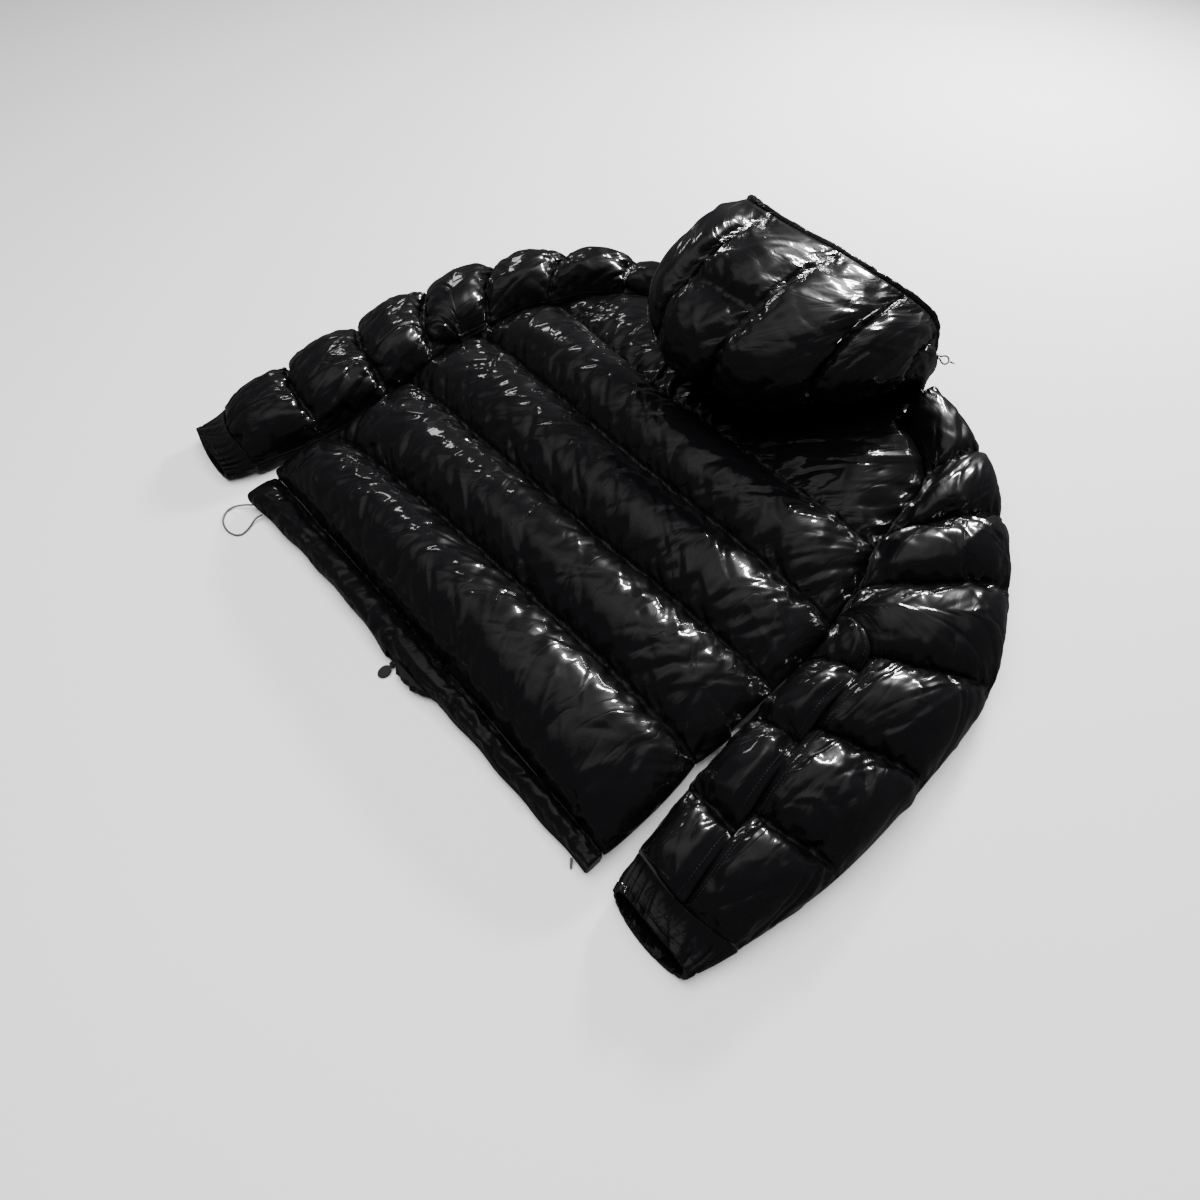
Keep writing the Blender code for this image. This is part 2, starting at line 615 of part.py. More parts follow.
def build_upper_sleeve(side):
    """The upper sleeve: channels from the sleeve head to the cuff, and the under sleeve."""
    last = len(sleeve_table(side)) - 1
    head_steps, steps = 8, 5
    places = [i / head_steps for i in range(head_steps)]
    places += [1.0 + i / steps for i in range((last - 1) * steps + 1)]
    places = sorted(places + [ELBOW_START])

    def back_span(place):
        start = elbow_share(side, place)
        return start + (ELBOW_GAP if start > 0 else 0.0), 1.0

    def back_seam(place, share):
        seamed = elbow_share(side, place) > 0
        return mix(ELBOW_RISE, 1.0, min(1.0, share / 0.18)) if seamed else 1.0

    grids = sleeve_grid(side, places, spread(11), back_span, back_seam)
    add_wall(f"sleeve_{side}_back", *grids, NYLON, flat_inner=True)

    tip = ELBOW_START + 0.04
    places = [tip] + [place for place in places if place > tip + 0.01]
    grids = sleeve_grid(side, places, spread(7),
                        lambda place: (0.0, elbow_share(side, place) - ELBOW_GAP),
                        lambda place, share: mix(ELBOW_RISE, 1.0, min(1.0, (1 - share) / 0.3)),
                        shift=UNDER_SHIFT)
    add_wall(f"sleeve_{side}_under", *grids, NYLON, flat_inner=True)


def build_fore_sleeve(side):
    """The fore sleeve: the flat slab that the upper sleeve lies on."""
    sign = side_sign(side)
    last = len(sleeve_table(side)) - 1
    outline = [(x, y, 0.001) for x, y in reversed(armhole_points(side))]
    armpit_place = 4.25
    inner_steps, cuff_steps, outer_steps = 16, 6, 35
    for i in range(1, inner_steps):
        place = mix(armpit_place, last, i / inner_steps)
        x, y = sleeve_end(side, "inner", place)
        if y < ARMPIT_Y:
            outline.append((x + sign * scallop(place % 1.0, 0.003), y, 0.010))
    for i in range(cuff_steps + 1):
        outline.append((*sleeve_point(side, last, i / cuff_steps), 0.001))
    for i in range(1, outer_steps + 1):
        place = mix(last, 0.0, i / outer_steps)
        x, y = sleeve_end(side, "outer", place)
        inner = sleeve_end(side, "inner", place)
        back = Vector((inner[0] - x, inner[1] - y)).normalized()
        free = 0 < i < outer_steps - 2
        draw = scallop(place % 1.0, 0.005) if free else 0.0
        outline.append((x + back.x * draw, y + back.y * draw, 0.013 if free else 0.002))
    return add_slab(f"sleeve_{side}_front", outline, LAYER, NYLON)


def build_cuff(side):
    """A gathered elastic cuff: an open, flattened tube from the cuff seam to its mouth."""
    cuff = CUFFS[side]
    last = len(sleeve_table(side)) - 1
    mouth_inner, mouth_outer = Vector(cuff.mouth_inner), Vector(cuff.mouth_outer)
    seam_middle = Vector(sleeve_point(side, last, 0.5))
    half_width = (mouth_outer - mouth_inner).length / 2
    along = ((mouth_inner + mouth_outer) / 2 - seam_middle).normalized()
    outer, inner = [], []
    for i in range(CUFF_ROWS):
        t = i / (CUFF_ROWS - 1)
        height = mix(cuff.seam_height, cuff.mouth_height, t) * (1.0 - 0.10 * math.sin(math.pi * t))
        rows = ([], [])
        for j in range(CUFF_COLUMNS):
            angle = 2 * math.pi * j / CUFF_COLUMNS
            c, s = math.cos(angle), math.sin(angle)
            gather = GATHER_DEPTH * math.sin(CUFF_GATHERS * angle) * (0.4 + 0.6 * t)
            for inset, row in ((-gather, rows[0]), (CUFF_WALL, rows[1])):
                u = 0.5 + 0.5 * (1.0 - inset / half_width) * math.copysign(abs(c) ** 0.8, c)
                seam_at = Vector(sleeve_point(side, last, u)) + along * 2 * SEAM_GAP
                mouth_at = mouth_inner.lerp(mouth_outer, u)
                mouth_at += along * (cuff.lip * (0.5 - 0.5 * s) + cuff.bow * math.sin(math.pi * u))
                at = seam_at.lerp(mouth_at, t)
                z = height / 2 + (height / 2 - inset) * math.copysign(abs(s) ** 0.85, s)
                row.append((at.x, at.y, max(z, 0.0)))
        outer.append(rows[0])
        inner.append(rows[1])
    return add_wall(f"cuff_{side}", outer, inner, NYLON, ring=True)


# ---------------------------------------------------------------- hood

def hood_point(place, angle, inset):
    """Point of the hood's plain shell at a fractional ring and an angle round it.

    Angle 0 is at the front on the surface, a quarter turn is the right side, a half turn is
    over the spine. inset moves the point in, towards the hollow.
    """
    def read(column):
        return smooth_read([getattr(ring, column) for ring in HOOD_RINGS], place)

    back = Vector((read("back_y"), read("back_z")))
    front = Vector((read("front_y"), read("front_z")))
    side = Vector((read("side_y"), read("side_z")))
    middle = (back + front) / 2
    c, s = math.cos(angle), math.sin(angle)
    square = read("square") - (LEFT_SQUARER if s < 0 else 0.0)
    boxy = math.copysign(abs(c) ** square, c)
    across = math.copysign(abs(s) ** (square if c < 0 else 1.0), s)
    x = across * (read("right") if s > 0 else read("left"))
    yz = middle - (back - middle) * boxy + (side - middle) * s * s
    height = yz.y if c < 0 else mix(side.y, front.y, c ** read("flat"))
    lifted = max(0.0, (yz.y - middle.y) / (back.y - middle.y))
    height += lifted * across * across * (read("peak") if s < 0 else -read("droop"))
    point = Vector((x, yz.x, height))
    heart = Vector((0.0, read("heart_y"), read("heart_z")))
    return point + (heart - point).normalized() * inset


def hood_padding(place, angle):
    """Rise of the hood's padding over its sewn lines."""
    degrees = math.degrees(angle)
    number = max(i for i, line in enumerate(HOOD_LINES[:-1]) if line <= degrees)
    low, high = HOOD_LINES[number], HOOD_LINES[number + 1]
    rise = crown((degrees - low) / (high - low))
    if high == HOOD_SEAM_LEFT:
        rise *= 1.0 - math.exp(-((place - HOOD_CROSS_RING) / 0.28) ** 2)
    ends = min(1.0, place / 0.8, (len(HOOD_RINGS) - 1 - place) / 0.5)
    return HOOD_CROWN * rise * max(ends, 0.0)


def degrees_from_front(angle):
    """How far an angle round the hood is from its front, 0 to 180 degrees."""
    degrees = math.degrees(angle) % 360.0
    return min(degrees, 360.0 - degrees)


def add_hood_piece(node, angle_from, angle_to, columns):
    """Makes one cut of the hood between two angles, from the neck seam to the rim."""
    rows = 19
    last = len(HOOD_RINGS) - 1
    outer, inner = [], []
    for i in range(rows):
        place = last * i / (rows - 1)
        outer_row, inner_row = [], []
        for j in range(columns):
            angle = math.radians(mix(angle_from, angle_to, j / (columns - 1)))
            shell = hood_point(place, angle, 0.0)
            inside = hood_point(place, angle, HOOD_WALL)
            out = shell + (shell - inside).normalized() * hood_padding(place, angle)
            lift = 0.0
            if place > 0 and degrees_from_front(angle) > 60:
                resting = yoke_height(out.x, out.y) + YOKE_CLEARANCE
                lift = max(0.0, resting - min(out.z, inside.z))
            outer_row.append(Vector((out.x, out.y, max(out.z + lift, 0.0))))
            inner_row.append(Vector((inside.x, inside.y, inside.z + lift)))
        outer.append(outer_row)
        inner.append(inner_row)
    return add_wall(node, outer, inner, NYLON)


def rim_centre(angle):
    """Middle of the rim casing at an angle, just past the edge of the hood's wall."""
    last = len(HOOD_RINGS) - 1
    edge = hood_point(last, angle, HOOD_WALL / 2)
    outwards = edge - hood_point(last - 0.1, angle, HOOD_WALL / 2)
    tangent = (hood_point(last, angle + 0.02, HOOD_WALL / 2)
               - hood_point(last, angle - 0.02, HOOD_WALL / 2)).normalized()
    outwards -= tangent * outwards.dot(tangent)
    centre = edge + outwards.normalized() * (RIM_RADIUS + RIM_GAP)
    centre.z = max(centre.z, RIM_RADIUS)
    return centre


def build_rim():
    """The casing round the hood's opening: a tube that is open beside the zip."""
    columns, around = 44, 8
    middles = [rim_centre(math.radians(mix(HOOD_FRONT_ANGLE, 360.0 - HOOD_FRONT_ANGLE,
                                           i / (columns - 1)))) for i in range(columns)]
    points = []
    for i, middle in enumerate(middles):
        along = (middles[min(i + 1, columns - 1)] - middles[max(i - 1, 0)]).normalized()
        across = along.cross(Vector((0.0, 1.0, 0.0))).normalized()
        over = along.cross(across)
        for k in range(around):
            angle = 2 * math.pi * (k + 0.5) / around
            point = middle + (across * math.cos(angle) + over * math.sin(angle)) * RIM_RADIUS
            points.append(Vector((point.x, point.y, max(point.z, 0.0))))
    faces = [(i * around + k, i * around + (k + 1) % around, (i + 1) * around + (k + 1) % around,
              (i + 1) * around + k) for i in range(columns - 1) for k in range(around)]
    faces.append(tuple(range(around)))
    faces.append(tuple((columns - 1) * around + k for k in range(around)))
    return add_object("hood_rim", points, faces, NYLON)


def build_hood():
    """The hood: two sides, the centre over the crown, and the casing round its rim."""
    add_hood_piece("hood_side_right", HOOD_FRONT_ANGLE, HOOD_SEAM_RIGHT - HOOD_SEAM_ANGLE, 16)
    add_hood_piece("hood_centre", HOOD_SEAM_RIGHT, HOOD_SEAM_LEFT, 13)
    add_hood_piece("hood_side_left", HOOD_SEAM_LEFT + HOOD_SEAM_ANGLE,
                   360.0 - HOOD_FRONT_ANGLE, 16)
    build_rim()


# ---------------------------------------------------------------- zip

def add_part(kind, **sizes):
    """Adds a helper solid, a box or a cylinder, for joining and cutting."""
    if kind == "box":
        bpy.ops.mesh.primitive_cube_add(size=1.0, location=sizes["middle"])
        bpy.context.object.scale = sizes["size"]
    else:
        bpy.ops.mesh.primitive_cylinder_add(
            vertices=sizes["sides"], radius=1.0, depth=1.0,
            location=sizes["middle"], rotation=sizes["turn"])
        bpy.context.object.scale = sizes["size"]
    bpy.ops.object.transform_apply(location=True, rotation=True, scale=True)
    return bpy.context.object


def combine(target, tool, operation):
    """Joins a helper solid to another one or cuts it out, and removes the helper."""
    step = target.modifiers.new(operation, "BOOLEAN")
    step.operation = operation
    step.object = tool
    bpy.context.view_layer.objects.active = target
    bpy.ops.object.modifier_apply(modifier=step.name)
    bpy.data.objects.remove(tool, do_unlink=True)


def finish_part(solid, node, finish, joint_at, tilt=0.0):
    """Names a joined solid, gives it its finish and moves it to the origin's frame.

    joint_at is the point, in the garment's own frame, that becomes the object's origin, and
    tilt lowers its -Y end about that point.
    """
    solid.name = node
    solid.data.name = node
    solid.data.materials.clear()
    solid.data.materials.append(material_for(finish, node))
    for vertex in solid.data.vertices:
        vertex.co -= joint_at
    solid.location = joint_at + TO_ORIGIN
    solid.rotation_euler.x = math.radians(tilt)
    return solid


def build_slider():
    """The lower slider: two plates joined by a post, with a pin between two lugs."""
    low, high = SLIDER_Y
    middle_y, length = (low + high) / 2, high - low
    plate = 0.0015
    width = 0.0092
    clear = 0.0004
    under = TAPE_Z[0] - clear - plate / 2
    over = TAPE_Z[1] + clear + plate / 2
    slider = add_part("box", middle=(0, middle_y, under), size=(width, length, plate))
    pieces = [
        add_part("box", middle=(0, middle_y, over), size=(width, length, plate)),
        add_part("box", middle=(0, middle_y, (under + over) / 2),
                 size=(0.0056, length * 0.8, over - under)),
        add_part("cylinder", middle=(0, PIN_Y, PIN_Z), size=(PIN_RADIUS, PIN_RADIUS, 0.0056),
                 turn=(0, math.pi / 2, 0), sides=12),
    ]
    for sign in (-1.0, 1.0):
        pieces.append(add_part("box", middle=(sign * 0.0028, PIN_Y / 2 - 0.0009, PIN_Z),
                               size=(0.0010, 0.0060, 0.0026)))
    for piece in pieces:
        combine(slider, piece, "UNION")
    finish_part(slider, "zip_slider", PLASTIC, Vector((0.0, middle_y, under)))


def build_pull():
    """The round-ended pull tab, with its eye round the slider's pin."""
    pull = add_part("cylinder", middle=(0, TAB_MIDDLE_Y, PIN_Z),
                    size=(*TAB_HALF, 2 * PULL_HALF_THICK), turn=(0, 0, 0), sides=28)
    neck_length = abs(TAB_MIDDLE_Y - PIN_Y)
    pieces = [
        add_part("box", middle=(0, (TAB_MIDDLE_Y + PIN_Y) / 2, PIN_Z),
                 size=(0.0036, neck_length, 1.8 * PULL_HALF_THICK)),
        add_part("cylinder", middle=(0, PIN_Y, PIN_Z), size=(EYE_RADIUS, EYE_RADIUS, 0.0034),
                 turn=(0, math.pi / 2, 0), sides=20),
    ]
    for piece in pieces:
        combine(pull, piece, "UNION")
    hole = add_part("cylinder", middle=(0, PIN_Y, PIN_Z), size=(EYE_HOLE, EYE_HOLE, 0.02),
                    turn=(0, math.pi / 2, 0), sides=16)
    combine(pull, hole, "DIFFERENCE")
    finish_part(pull, "zip_pull", PLASTIC, Vector((0.0, PIN_Y, PIN_Z)), PULL_TILT)


def build_zip():
    """The front zip, plain on the hidden side: two tapes, the chain, the slider and its pull."""
    top = FRONT_NECK_Y - 0.004
    for side, sign in (("left", -1.0), ("right", 1.0)):
        xs = sorted(sign * x for x in TAPE_X)
        add_box(f"zip_tape_{side}", (xs[0], -0.002, TAPE_Z[0]), (xs[1], top, TAPE_Z[1]), TAPE)
    add_box("zip_chain", (-CHAIN_HALF, CHAIN_Y, CHAIN_Z[0]), (CHAIN_HALF, top, CHAIN_Z[1]),
            PLASTIC)
    build_slider()
    build_pull()


# ---------------------------------------------------------------- cords

def add_cord(node, route, radius, finish, count):
    """Makes a cord as a round tube along a smooth curve through its route's points."""
    places = [(len(route) - 1) * i / (count - 1) for i in range(count)]
    curve = bpy.data.curves.new(node, "CURVE")
    curve.dimensions = "3D"
    curve.bevel_depth = radius
    curve.bevel_resolution = 2
    curve.use_fill_caps = True
    spline = curve.splines.new("POLY")
    spline.points.add(count - 1)
    for point, place in zip(spline.points, places):
        at = [smooth_read([p[axis] for p in route], place) for axis in range(3)]
        point.co = (*(Vector(at) + TO_ORIGIN), 1.0)
    curve.materials.append(material_for(finish, node))
    cord = bpy.data.objects.new(node, curve)
    bpy.context.scene.collection.objects.link(cord)
    return cord


def add_turned(node, base, tip, radii, finish, sides=10):
    """Makes a round piece from base to tip with evenly spaced radii along it."""
    base, tip = Vector(base), Vector(tip)
    along = (tip - base).normalized()
    across = along.cross(Vector((0.0, 0.0, 1.0)) if abs(along.z) < 0.9 else Vector((1.0, 0.0, 0.0)))
    across.normalize()
    over = along.cross(across)
    points = []
    for i, radius in enumerate(radii):
        middle = base.lerp(tip, i / (len(radii) - 1))
        for k in range(sides):
            angle = 2 * math.pi * k / sides
            points.append(middle + (across * math.cos(angle) + over * math.sin(angle)) * radius)
    faces = [(i * sides + k, i * sides + (k + 1) % sides, (i + 1) * sides + (k + 1) % sides,
              (i + 1) * sides + k) for i in range(len(radii) - 1) for k in range(sides)]
    faces.append(tuple(range(sides)))
    faces.append(tuple((len(radii) - 1) * sides + k for k in range(sides)))
    return add_object(node, points, faces, finish)


def build_cords():
    """The hem's elastic cord with its other end, and the hood's cord with its barrel and tip."""
    add_cord("hem_cord", HEM_CORD_ROUTE, HEM_CORD_RADIUS, ELASTIC, 30)
    add_turned("hem_cord_end", *HEM_CORD_END, HEM_CORD_END_RADII, ELASTIC)

    out = Vector((*HOOD_CORD_OUT, 0.0)).normalized()
    aside = Vector((-out.y, out.x, 0.0))
    barrel_at = rim_centre(math.radians(HOOD_CORD_ANGLE)) + out * (RIM_RADIUS + BARREL_RADIUS)
    half = Vector((0.0, 0.0, BARREL_HALF))
    add_turned("hood_cord_barrel", barrel_at - half, barrel_at + half,
               (0.8 * BARREL_RADIUS, BARREL_RADIUS, BARREL_RADIUS, BARREL_RADIUS,
                0.8 * BARREL_RADIUS), PLASTIC, sides=14)

    def placed(step):
        return barrel_at + out * (BARREL_RADIUS + step[0]) + aside * step[1] + Vector((0, 0, step[2]))

    add_cord("hood_cord", [placed(step) for step in HOOD_CORD_ROUTE], HOOD_CORD_RADIUS, ELASTIC, 24)
    add_turned("hood_cord_tip", *[placed(step) for step in HOOD_CORD_TIP], HOOD_CORD_TIP_RADII,
               ELASTIC)


def main():
    """Builds the jacket."""
    for leftover in list(bpy.data.objects):
        bpy.data.objects.remove(leftover, do_unlink=True)
    build_back()
    for side in ("left", "right"):
        build_front(side)
        build_upper_sleeve(side)
        build_fore_sleeve(side)
        build_cuff(side)
    build_hem()
    build_hood()
    build_zip()
    build_cords()


main()
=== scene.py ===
"""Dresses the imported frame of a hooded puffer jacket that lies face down, with its back up.

Each cut of padded cloth is drawn as a grid over its solid, held along its sewn lines, and
blown up by a cloth simulation. Gathers, stitches, cords and the zip's small pieces follow.
Metres, +Z up, in the frame's own place: the spine runs along +Y, the wearer's right is at +X.
"""

import json
import logging
import math
from dataclasses import dataclass, field
from enum import Enum
from typing import Callable, NamedTuple, Sequence

import bmesh
import bpy
import numpy as np
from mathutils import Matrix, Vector

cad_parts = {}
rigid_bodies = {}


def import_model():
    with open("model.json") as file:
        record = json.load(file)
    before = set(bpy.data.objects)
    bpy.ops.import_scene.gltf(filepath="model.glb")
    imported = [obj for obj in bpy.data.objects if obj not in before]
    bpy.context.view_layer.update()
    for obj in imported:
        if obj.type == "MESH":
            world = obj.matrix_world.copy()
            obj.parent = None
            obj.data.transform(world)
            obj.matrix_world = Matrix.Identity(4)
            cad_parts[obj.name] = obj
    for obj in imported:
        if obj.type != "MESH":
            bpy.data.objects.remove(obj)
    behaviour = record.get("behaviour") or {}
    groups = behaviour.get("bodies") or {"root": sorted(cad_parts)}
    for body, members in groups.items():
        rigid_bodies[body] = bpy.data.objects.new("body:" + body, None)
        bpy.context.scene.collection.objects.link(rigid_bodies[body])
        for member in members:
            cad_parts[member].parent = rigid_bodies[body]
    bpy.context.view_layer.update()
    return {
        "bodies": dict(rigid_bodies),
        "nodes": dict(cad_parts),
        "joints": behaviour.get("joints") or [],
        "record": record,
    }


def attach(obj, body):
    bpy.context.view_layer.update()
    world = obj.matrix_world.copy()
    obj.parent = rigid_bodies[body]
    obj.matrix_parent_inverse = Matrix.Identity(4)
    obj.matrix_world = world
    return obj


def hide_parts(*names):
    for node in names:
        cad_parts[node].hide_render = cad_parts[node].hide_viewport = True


log = logging.getLogger("jacket")

Grid = np.ndarray                       # rows x columns x 3
JACKET = "jacket"                       # the body that all of the cloth rides on

# The garment is drawn with the middle of its hem at x = y = 0 and then moved by this much.
ORIGIN = np.array((-0.0028, -0.3595, 0.0))

# ---------------------------------------------------------------- sizes of the pattern

SEAM_GAP = 0.0003
ARMHOLE_GAP = 0.0009
LAYER = 0.022            # height of the plane between the lower and the upper layer of cloth
EDGE = 0.003
HEM_HALF = 0.300
ARMPIT_Y = 0.200
ZIP_HALF = 0.0100
BACK_VALLEY = 0.026
BACK_CROWN = 0.031
YOKE_CROWN = 0.012
SLEEVE_VALLEY = {"left": 0.032, "right": 0.026}
ELBOW = (3.5, 3.8, 4.0)  # stations where the elbow seam leaves the armhole, bends and runs on
ELBOW_GAP = 0.0015
# How high the cloth stands at the elbow seam, next to the cloth beside it.
ELBOW_RISE = {"left": 1.0, "right": 0.80}
UNDER_SHIFT = {"left": 0.0, "right": -0.22}
SLEEVE_BOW = 0.010
# The seam along the outer arm: stations, and its share of the way across the sleeve there.
OUTER_SEAM = ((1.75, 0.44), (2.4, 0.71), (3.0, 0.90), (3.4, 0.95), (3.9, 0.985))
HEAD_START = 0.35


class Line(NamedTuple):
    """A sewn line across the back: its y at the left edge, the spine and the right edge."""

    name: str
    left: float
    middle: float
    right: float


BACK_LINES = (
    Line("hem seam", 0.046, 0.030, 0.012),
    Line("first", 0.130, 0.138, 0.134),
    Line("second", 0.258, 0.243, 0.246),
    Line("third", 0.384, 0.356, 0.349),
    Line("fourth", 0.506, 0.462, 0.465),
    Line("neckline", 0.655, 0.602, 0.678),
)


class Station(NamedTuple):
    """A sewn line across a sleeve: its two ends, the elbow seam's share and its crown."""

    name: str
    inner_x: float
    inner_y: float
    outer_x: float
    outer_y: float
    elbow: float
    crown: float


SLEEVE_RIGHT = (
    Station("head", 0.157, 0.672, 0.166, 0.730, 0.00, 0.022),
    Station("cap", 0.238, 0.600, 0.262, 0.684, 0.00, 0.026),
    Station("first", 0.258, 0.480, 0.334, 0.610, 0.00, 0.027),
    Station("second", 0.282, 0.400, 0.395, 0.525, 0.00, 0.027),
    Station("third", 0.297, 0.315, 0.448, 0.400, 0.31, 0.027),
    Station("fourth", 0.302, 0.225, 0.459, 0.270, 0.34, 0.027),
    Station("fifth", 0.309, 0.130, 0.456, 0.145, 0.41, 0.023),
    Station("cuff seam", 0.321, 0.036, 0.436, 0.038, 0.53, 0.000),
)
SLEEVE_LEFT = (
    Station("head", -0.160, 0.658, -0.170, 0.714, 0.00, 0.022),
    Station("cap", -0.268, 0.594, -0.300, 0.660, 0.00, 0.024),
    Station("first", -0.320, 0.500, -0.372, 0.594, 0.00, 0.026),
    Station("second", -0.337, 0.405, -0.430, 0.498, 0.00, 0.027),
    Station("third", -0.333, 0.305, -0.452, 0.390, 0.26, 0.027),
    Station("fourth", -0.325, 0.225, -0.453, 0.268, 0.28, 0.026),
    Station("fifth", -0.321, 0.124, -0.446, 0.156, 0.36, 0.022),
    Station("cuff seam", -0.337, 0.036, -0.441, 0.060, 0.50, 0.000),
)


class SideRow(NamedTuple):
    """x of the body's side seams at a height up the back, below the armpits."""

    y: float
    left: float
    right: float


SIDE_ROWS = (
    SideRow(-0.010, -0.300, 0.303),
    SideRow(0.050, -0.301, 0.300),
    SideRow(0.130, -0.304, 0.298),
    SideRow(0.200, -0.315, 0.299),
)


class HemRow(NamedTuple):
    """y of the free edges of the back's and the fronts' hem bands."""

    x: float
    back: float
    front: float


HEM_ROWS = (
    HemRow(-0.300, 0.0040, 0.0060),
    HemRow(-0.200, 0.0070, 0.0080),
    HemRow(-0.100, 0.0050, 0.0060),
    HemRow(-0.035, 0.0005, 0.0010),
    HemRow(-0.010, -0.0015, -0.0040),
    HemRow(0.020, -0.0020, -0.0095),
    HemRow(0.045, -0.0010, -0.0080),
    HemRow(0.065, 0.0000, 0.0000),
    HemRow(0.120, 0.0010, 0.0000),
    HemRow(0.200, -0.0020, -0.0035),
    HemRow(0.300, -0.0050, -0.0065),
)


class Ring(NamedTuple):
    """A ring of the hood: its three points, half widths, corners and a point of its hollow."""

    name: str
    back_y: float
    back_z: float
    side_y: float
    side_z: float
    front_y: float
    front_z: float
    left: float
    right: float
    peak: float
    droop: float
    square: float
    flat: float
    heart_y: float
    heart_z: float


HOOD_RINGS = (
    Ring("neck seam", 0.607, 0.042, 0.643, 0.038, 0.567, 0.0115, 0.108, 0.108,
         0.000, 0.000, 0.80, 0.35, 0.664, 0.074),
    Ring("over the neck", 0.588, 0.078, 0.658, 0.046, 0.573, 0.0105, 0.119, 0.119,
         0.000, 0.000, 0.78, 0.33, 0.650, 0.120),
    Ring("over the yoke", 0.500, 0.096, 0.664, 0.074, 0.592, 0.0100, 0.138, 0.144,
         0.000, 0.000, 0.70, 0.32, 0.601, 0.149),
    Ring("nape fold", 0.447, 0.132, 0.656, 0.092, 0.615, 0.0095, 0.143, 0.154,
         0.002, 0.004, 0.68, 0.45, 0.561, 0.139),
    Ring("back of head", 0.458, 0.180, 0.649, 0.104, 0.640, 0.0090, 0.143, 0.157,
         0.003, 0.008, 0.62, 0.55, 0.565, 0.120),
    Ring("crown", 0.535, 0.211, 0.674, 0.110, 0.665, 0.0085, 0.147, 0.150,
         0.006, 0.015, 0.58, 0.65, 0.600, 0.110),
    Ring("rim", 0.646, 0.208, 0.722, 0.100, 0.700, 0.0080, 0.159, 0.144,
         0.010, 0.020, 0.56, 0.75, 0.673, 0.109),
)
LEFT_SQUARER = 0.10      # the hood's left side is squarer than its right one by this much
HOOD_WALL = 0.007
HOOD_CROWN = 0.0140
RIM_RADIUS = 0.0045
RIM_GAP = 0.0019
HOOD_SEAM_RIGHT, HOOD_SEAM_LEFT = 142.0, 193.0
HOOD_FRONT_ANGLE = 5.0
HOOD_CROSS_RING = 4.6    # where a sewn line crosses the hood's centre piece
HOOD_CROSS_WIDTH = 0.20  # how far that line draws the cloth down, in rings
HOOD_COLUMNS = 66        # points from the neck seam to the rim
HOOD_SEAM_GAP = 0.20     # degrees between two cuts of the hood
YOKE_CLEARANCE = 0.0020
YOKE_Y = (0.48, 0.66)
YOKE_HALF = (0.26, 0.16)
NECK_CLEARANCE = (0.0030, 0.0340)


class CuffSize(NamedTuple):
    """Both ends of a cuff's mouth, its heights, and how its mouth stands out and bows."""

    mouth_inner: tuple[float, float]
    mouth_outer: tuple[float, float]
    seam_height: float
    mouth_height: float
    lip: float
    bow: float


class Side(Enum):
    """A side of the wearer, with the sign of its x."""

    LEFT = -1
    RIGHT = 1

    @property
    def word(self) -> str:
        """The side's name in a node's name."""
        return self.name.lower()

    @property
    def stations(self) -> tuple[Station, ...]:
        """The sewn lines of this side's sleeve."""
        return SLEEVE_RIGHT if self is Side.RIGHT else SLEEVE_LEFT


CUFFS = {
    Side.RIGHT: CuffSize((0.3285, 0.004), (0.4210, -0.003), 0.038, 0.033, 0.009, 0.004),
    Side.LEFT: CuffSize((-0.3530, 0.006), (-0.4460, 0.017), 0.046, 0.031, 0.003, 0.003),
}


# ---------------------------------------------------------------- sizes of the folds

FURROW_WIDTH = 0.0036    # half width of the valley that a sewn line draws down
FOLD_START = 0.004       # folds reach their full depth this far from their line
EDGE_FADE = 0.004        # folds fade out this far from a cut's own edge
GATHER_REACH = 0.016     # the finish shows gathers this far from a sewn line


# ---------------------------------------------------------------- small mathematics

def mix(a: Grid, b: Grid, t: Grid) -> Grid:
    """Goes from a to b as t goes from 0 to 1."""
    return a + (b - a) * t


def read(values: Sequence[float], place: Grid) -> Grid:
    """Reads a list of numbers along a smooth curve through all of them.

    Args:
        values: the numbers, at places 0, 1, 2 and so on.
        place: where to read, as fractions of a place.

    Returns:
        The values there.
    """
    table = np.asarray(values, float)
    last = len(table) - 1
    place = np.clip(np.asarray(place, float), 0.0, last)
    i = np.minimum(place.astype(int), last - 1)
    t = place - i
    p1, p2 = table[i], table[i + 1]
    p0 = np.where(i > 0, table[np.maximum(i - 1, 0)], 2 * p1 - p2)
    p3 = np.where(i + 2 <= last, table[np.minimum(i + 2, last)], 2 * p2 - p1)
    slope_1, slope_2 = (p2 - p0) / 2, (p3 - p1) / 2
    return ((2 * t**3 - 3 * t**2 + 1) * p1 + (t**3 - 2 * t**2 + t) * slope_1
            + (3 * t**2 - 2 * t**3) * p2 + (t**3 - t**2) * slope_2)


def column(rows: Sequence[NamedTuple], name: str) -> list[float]:
    """One named column of a table."""
    return [getattr(row, name) for row in rows]


def plateau(u: Grid, sharpness: float) -> Grid:
    """A pillow's profile: 0 at u = 0 and 1, close to 1 in between."""
    return np.sqrt(np.maximum(0.0, 1.0 - np.abs(2 * u - 1) ** sharpness))


def crown(f: Grid) -> Grid:
    """A channel's profile across its width: 0 at its sewn lines, 1 in the middle."""
    return np.sin(np.pi * np.clip(f, 0.0, 1.0)) ** 0.62


def furrow(away: Grid) -> Grid:
    """A sewn line's profile: 1 on the line, and nothing a little way off."""
    return np.exp(-(np.abs(away) / FURROW_WIDTH) ** 1.4)


def ridge(off: Grid, width: float) -> Grid:
    """A fold's profile across it: 1 on its own line, 0 from its edges outwards."""
    return np.clip(1.0 - off / (1.6 * width), 0.0, 1.0) ** 1.3


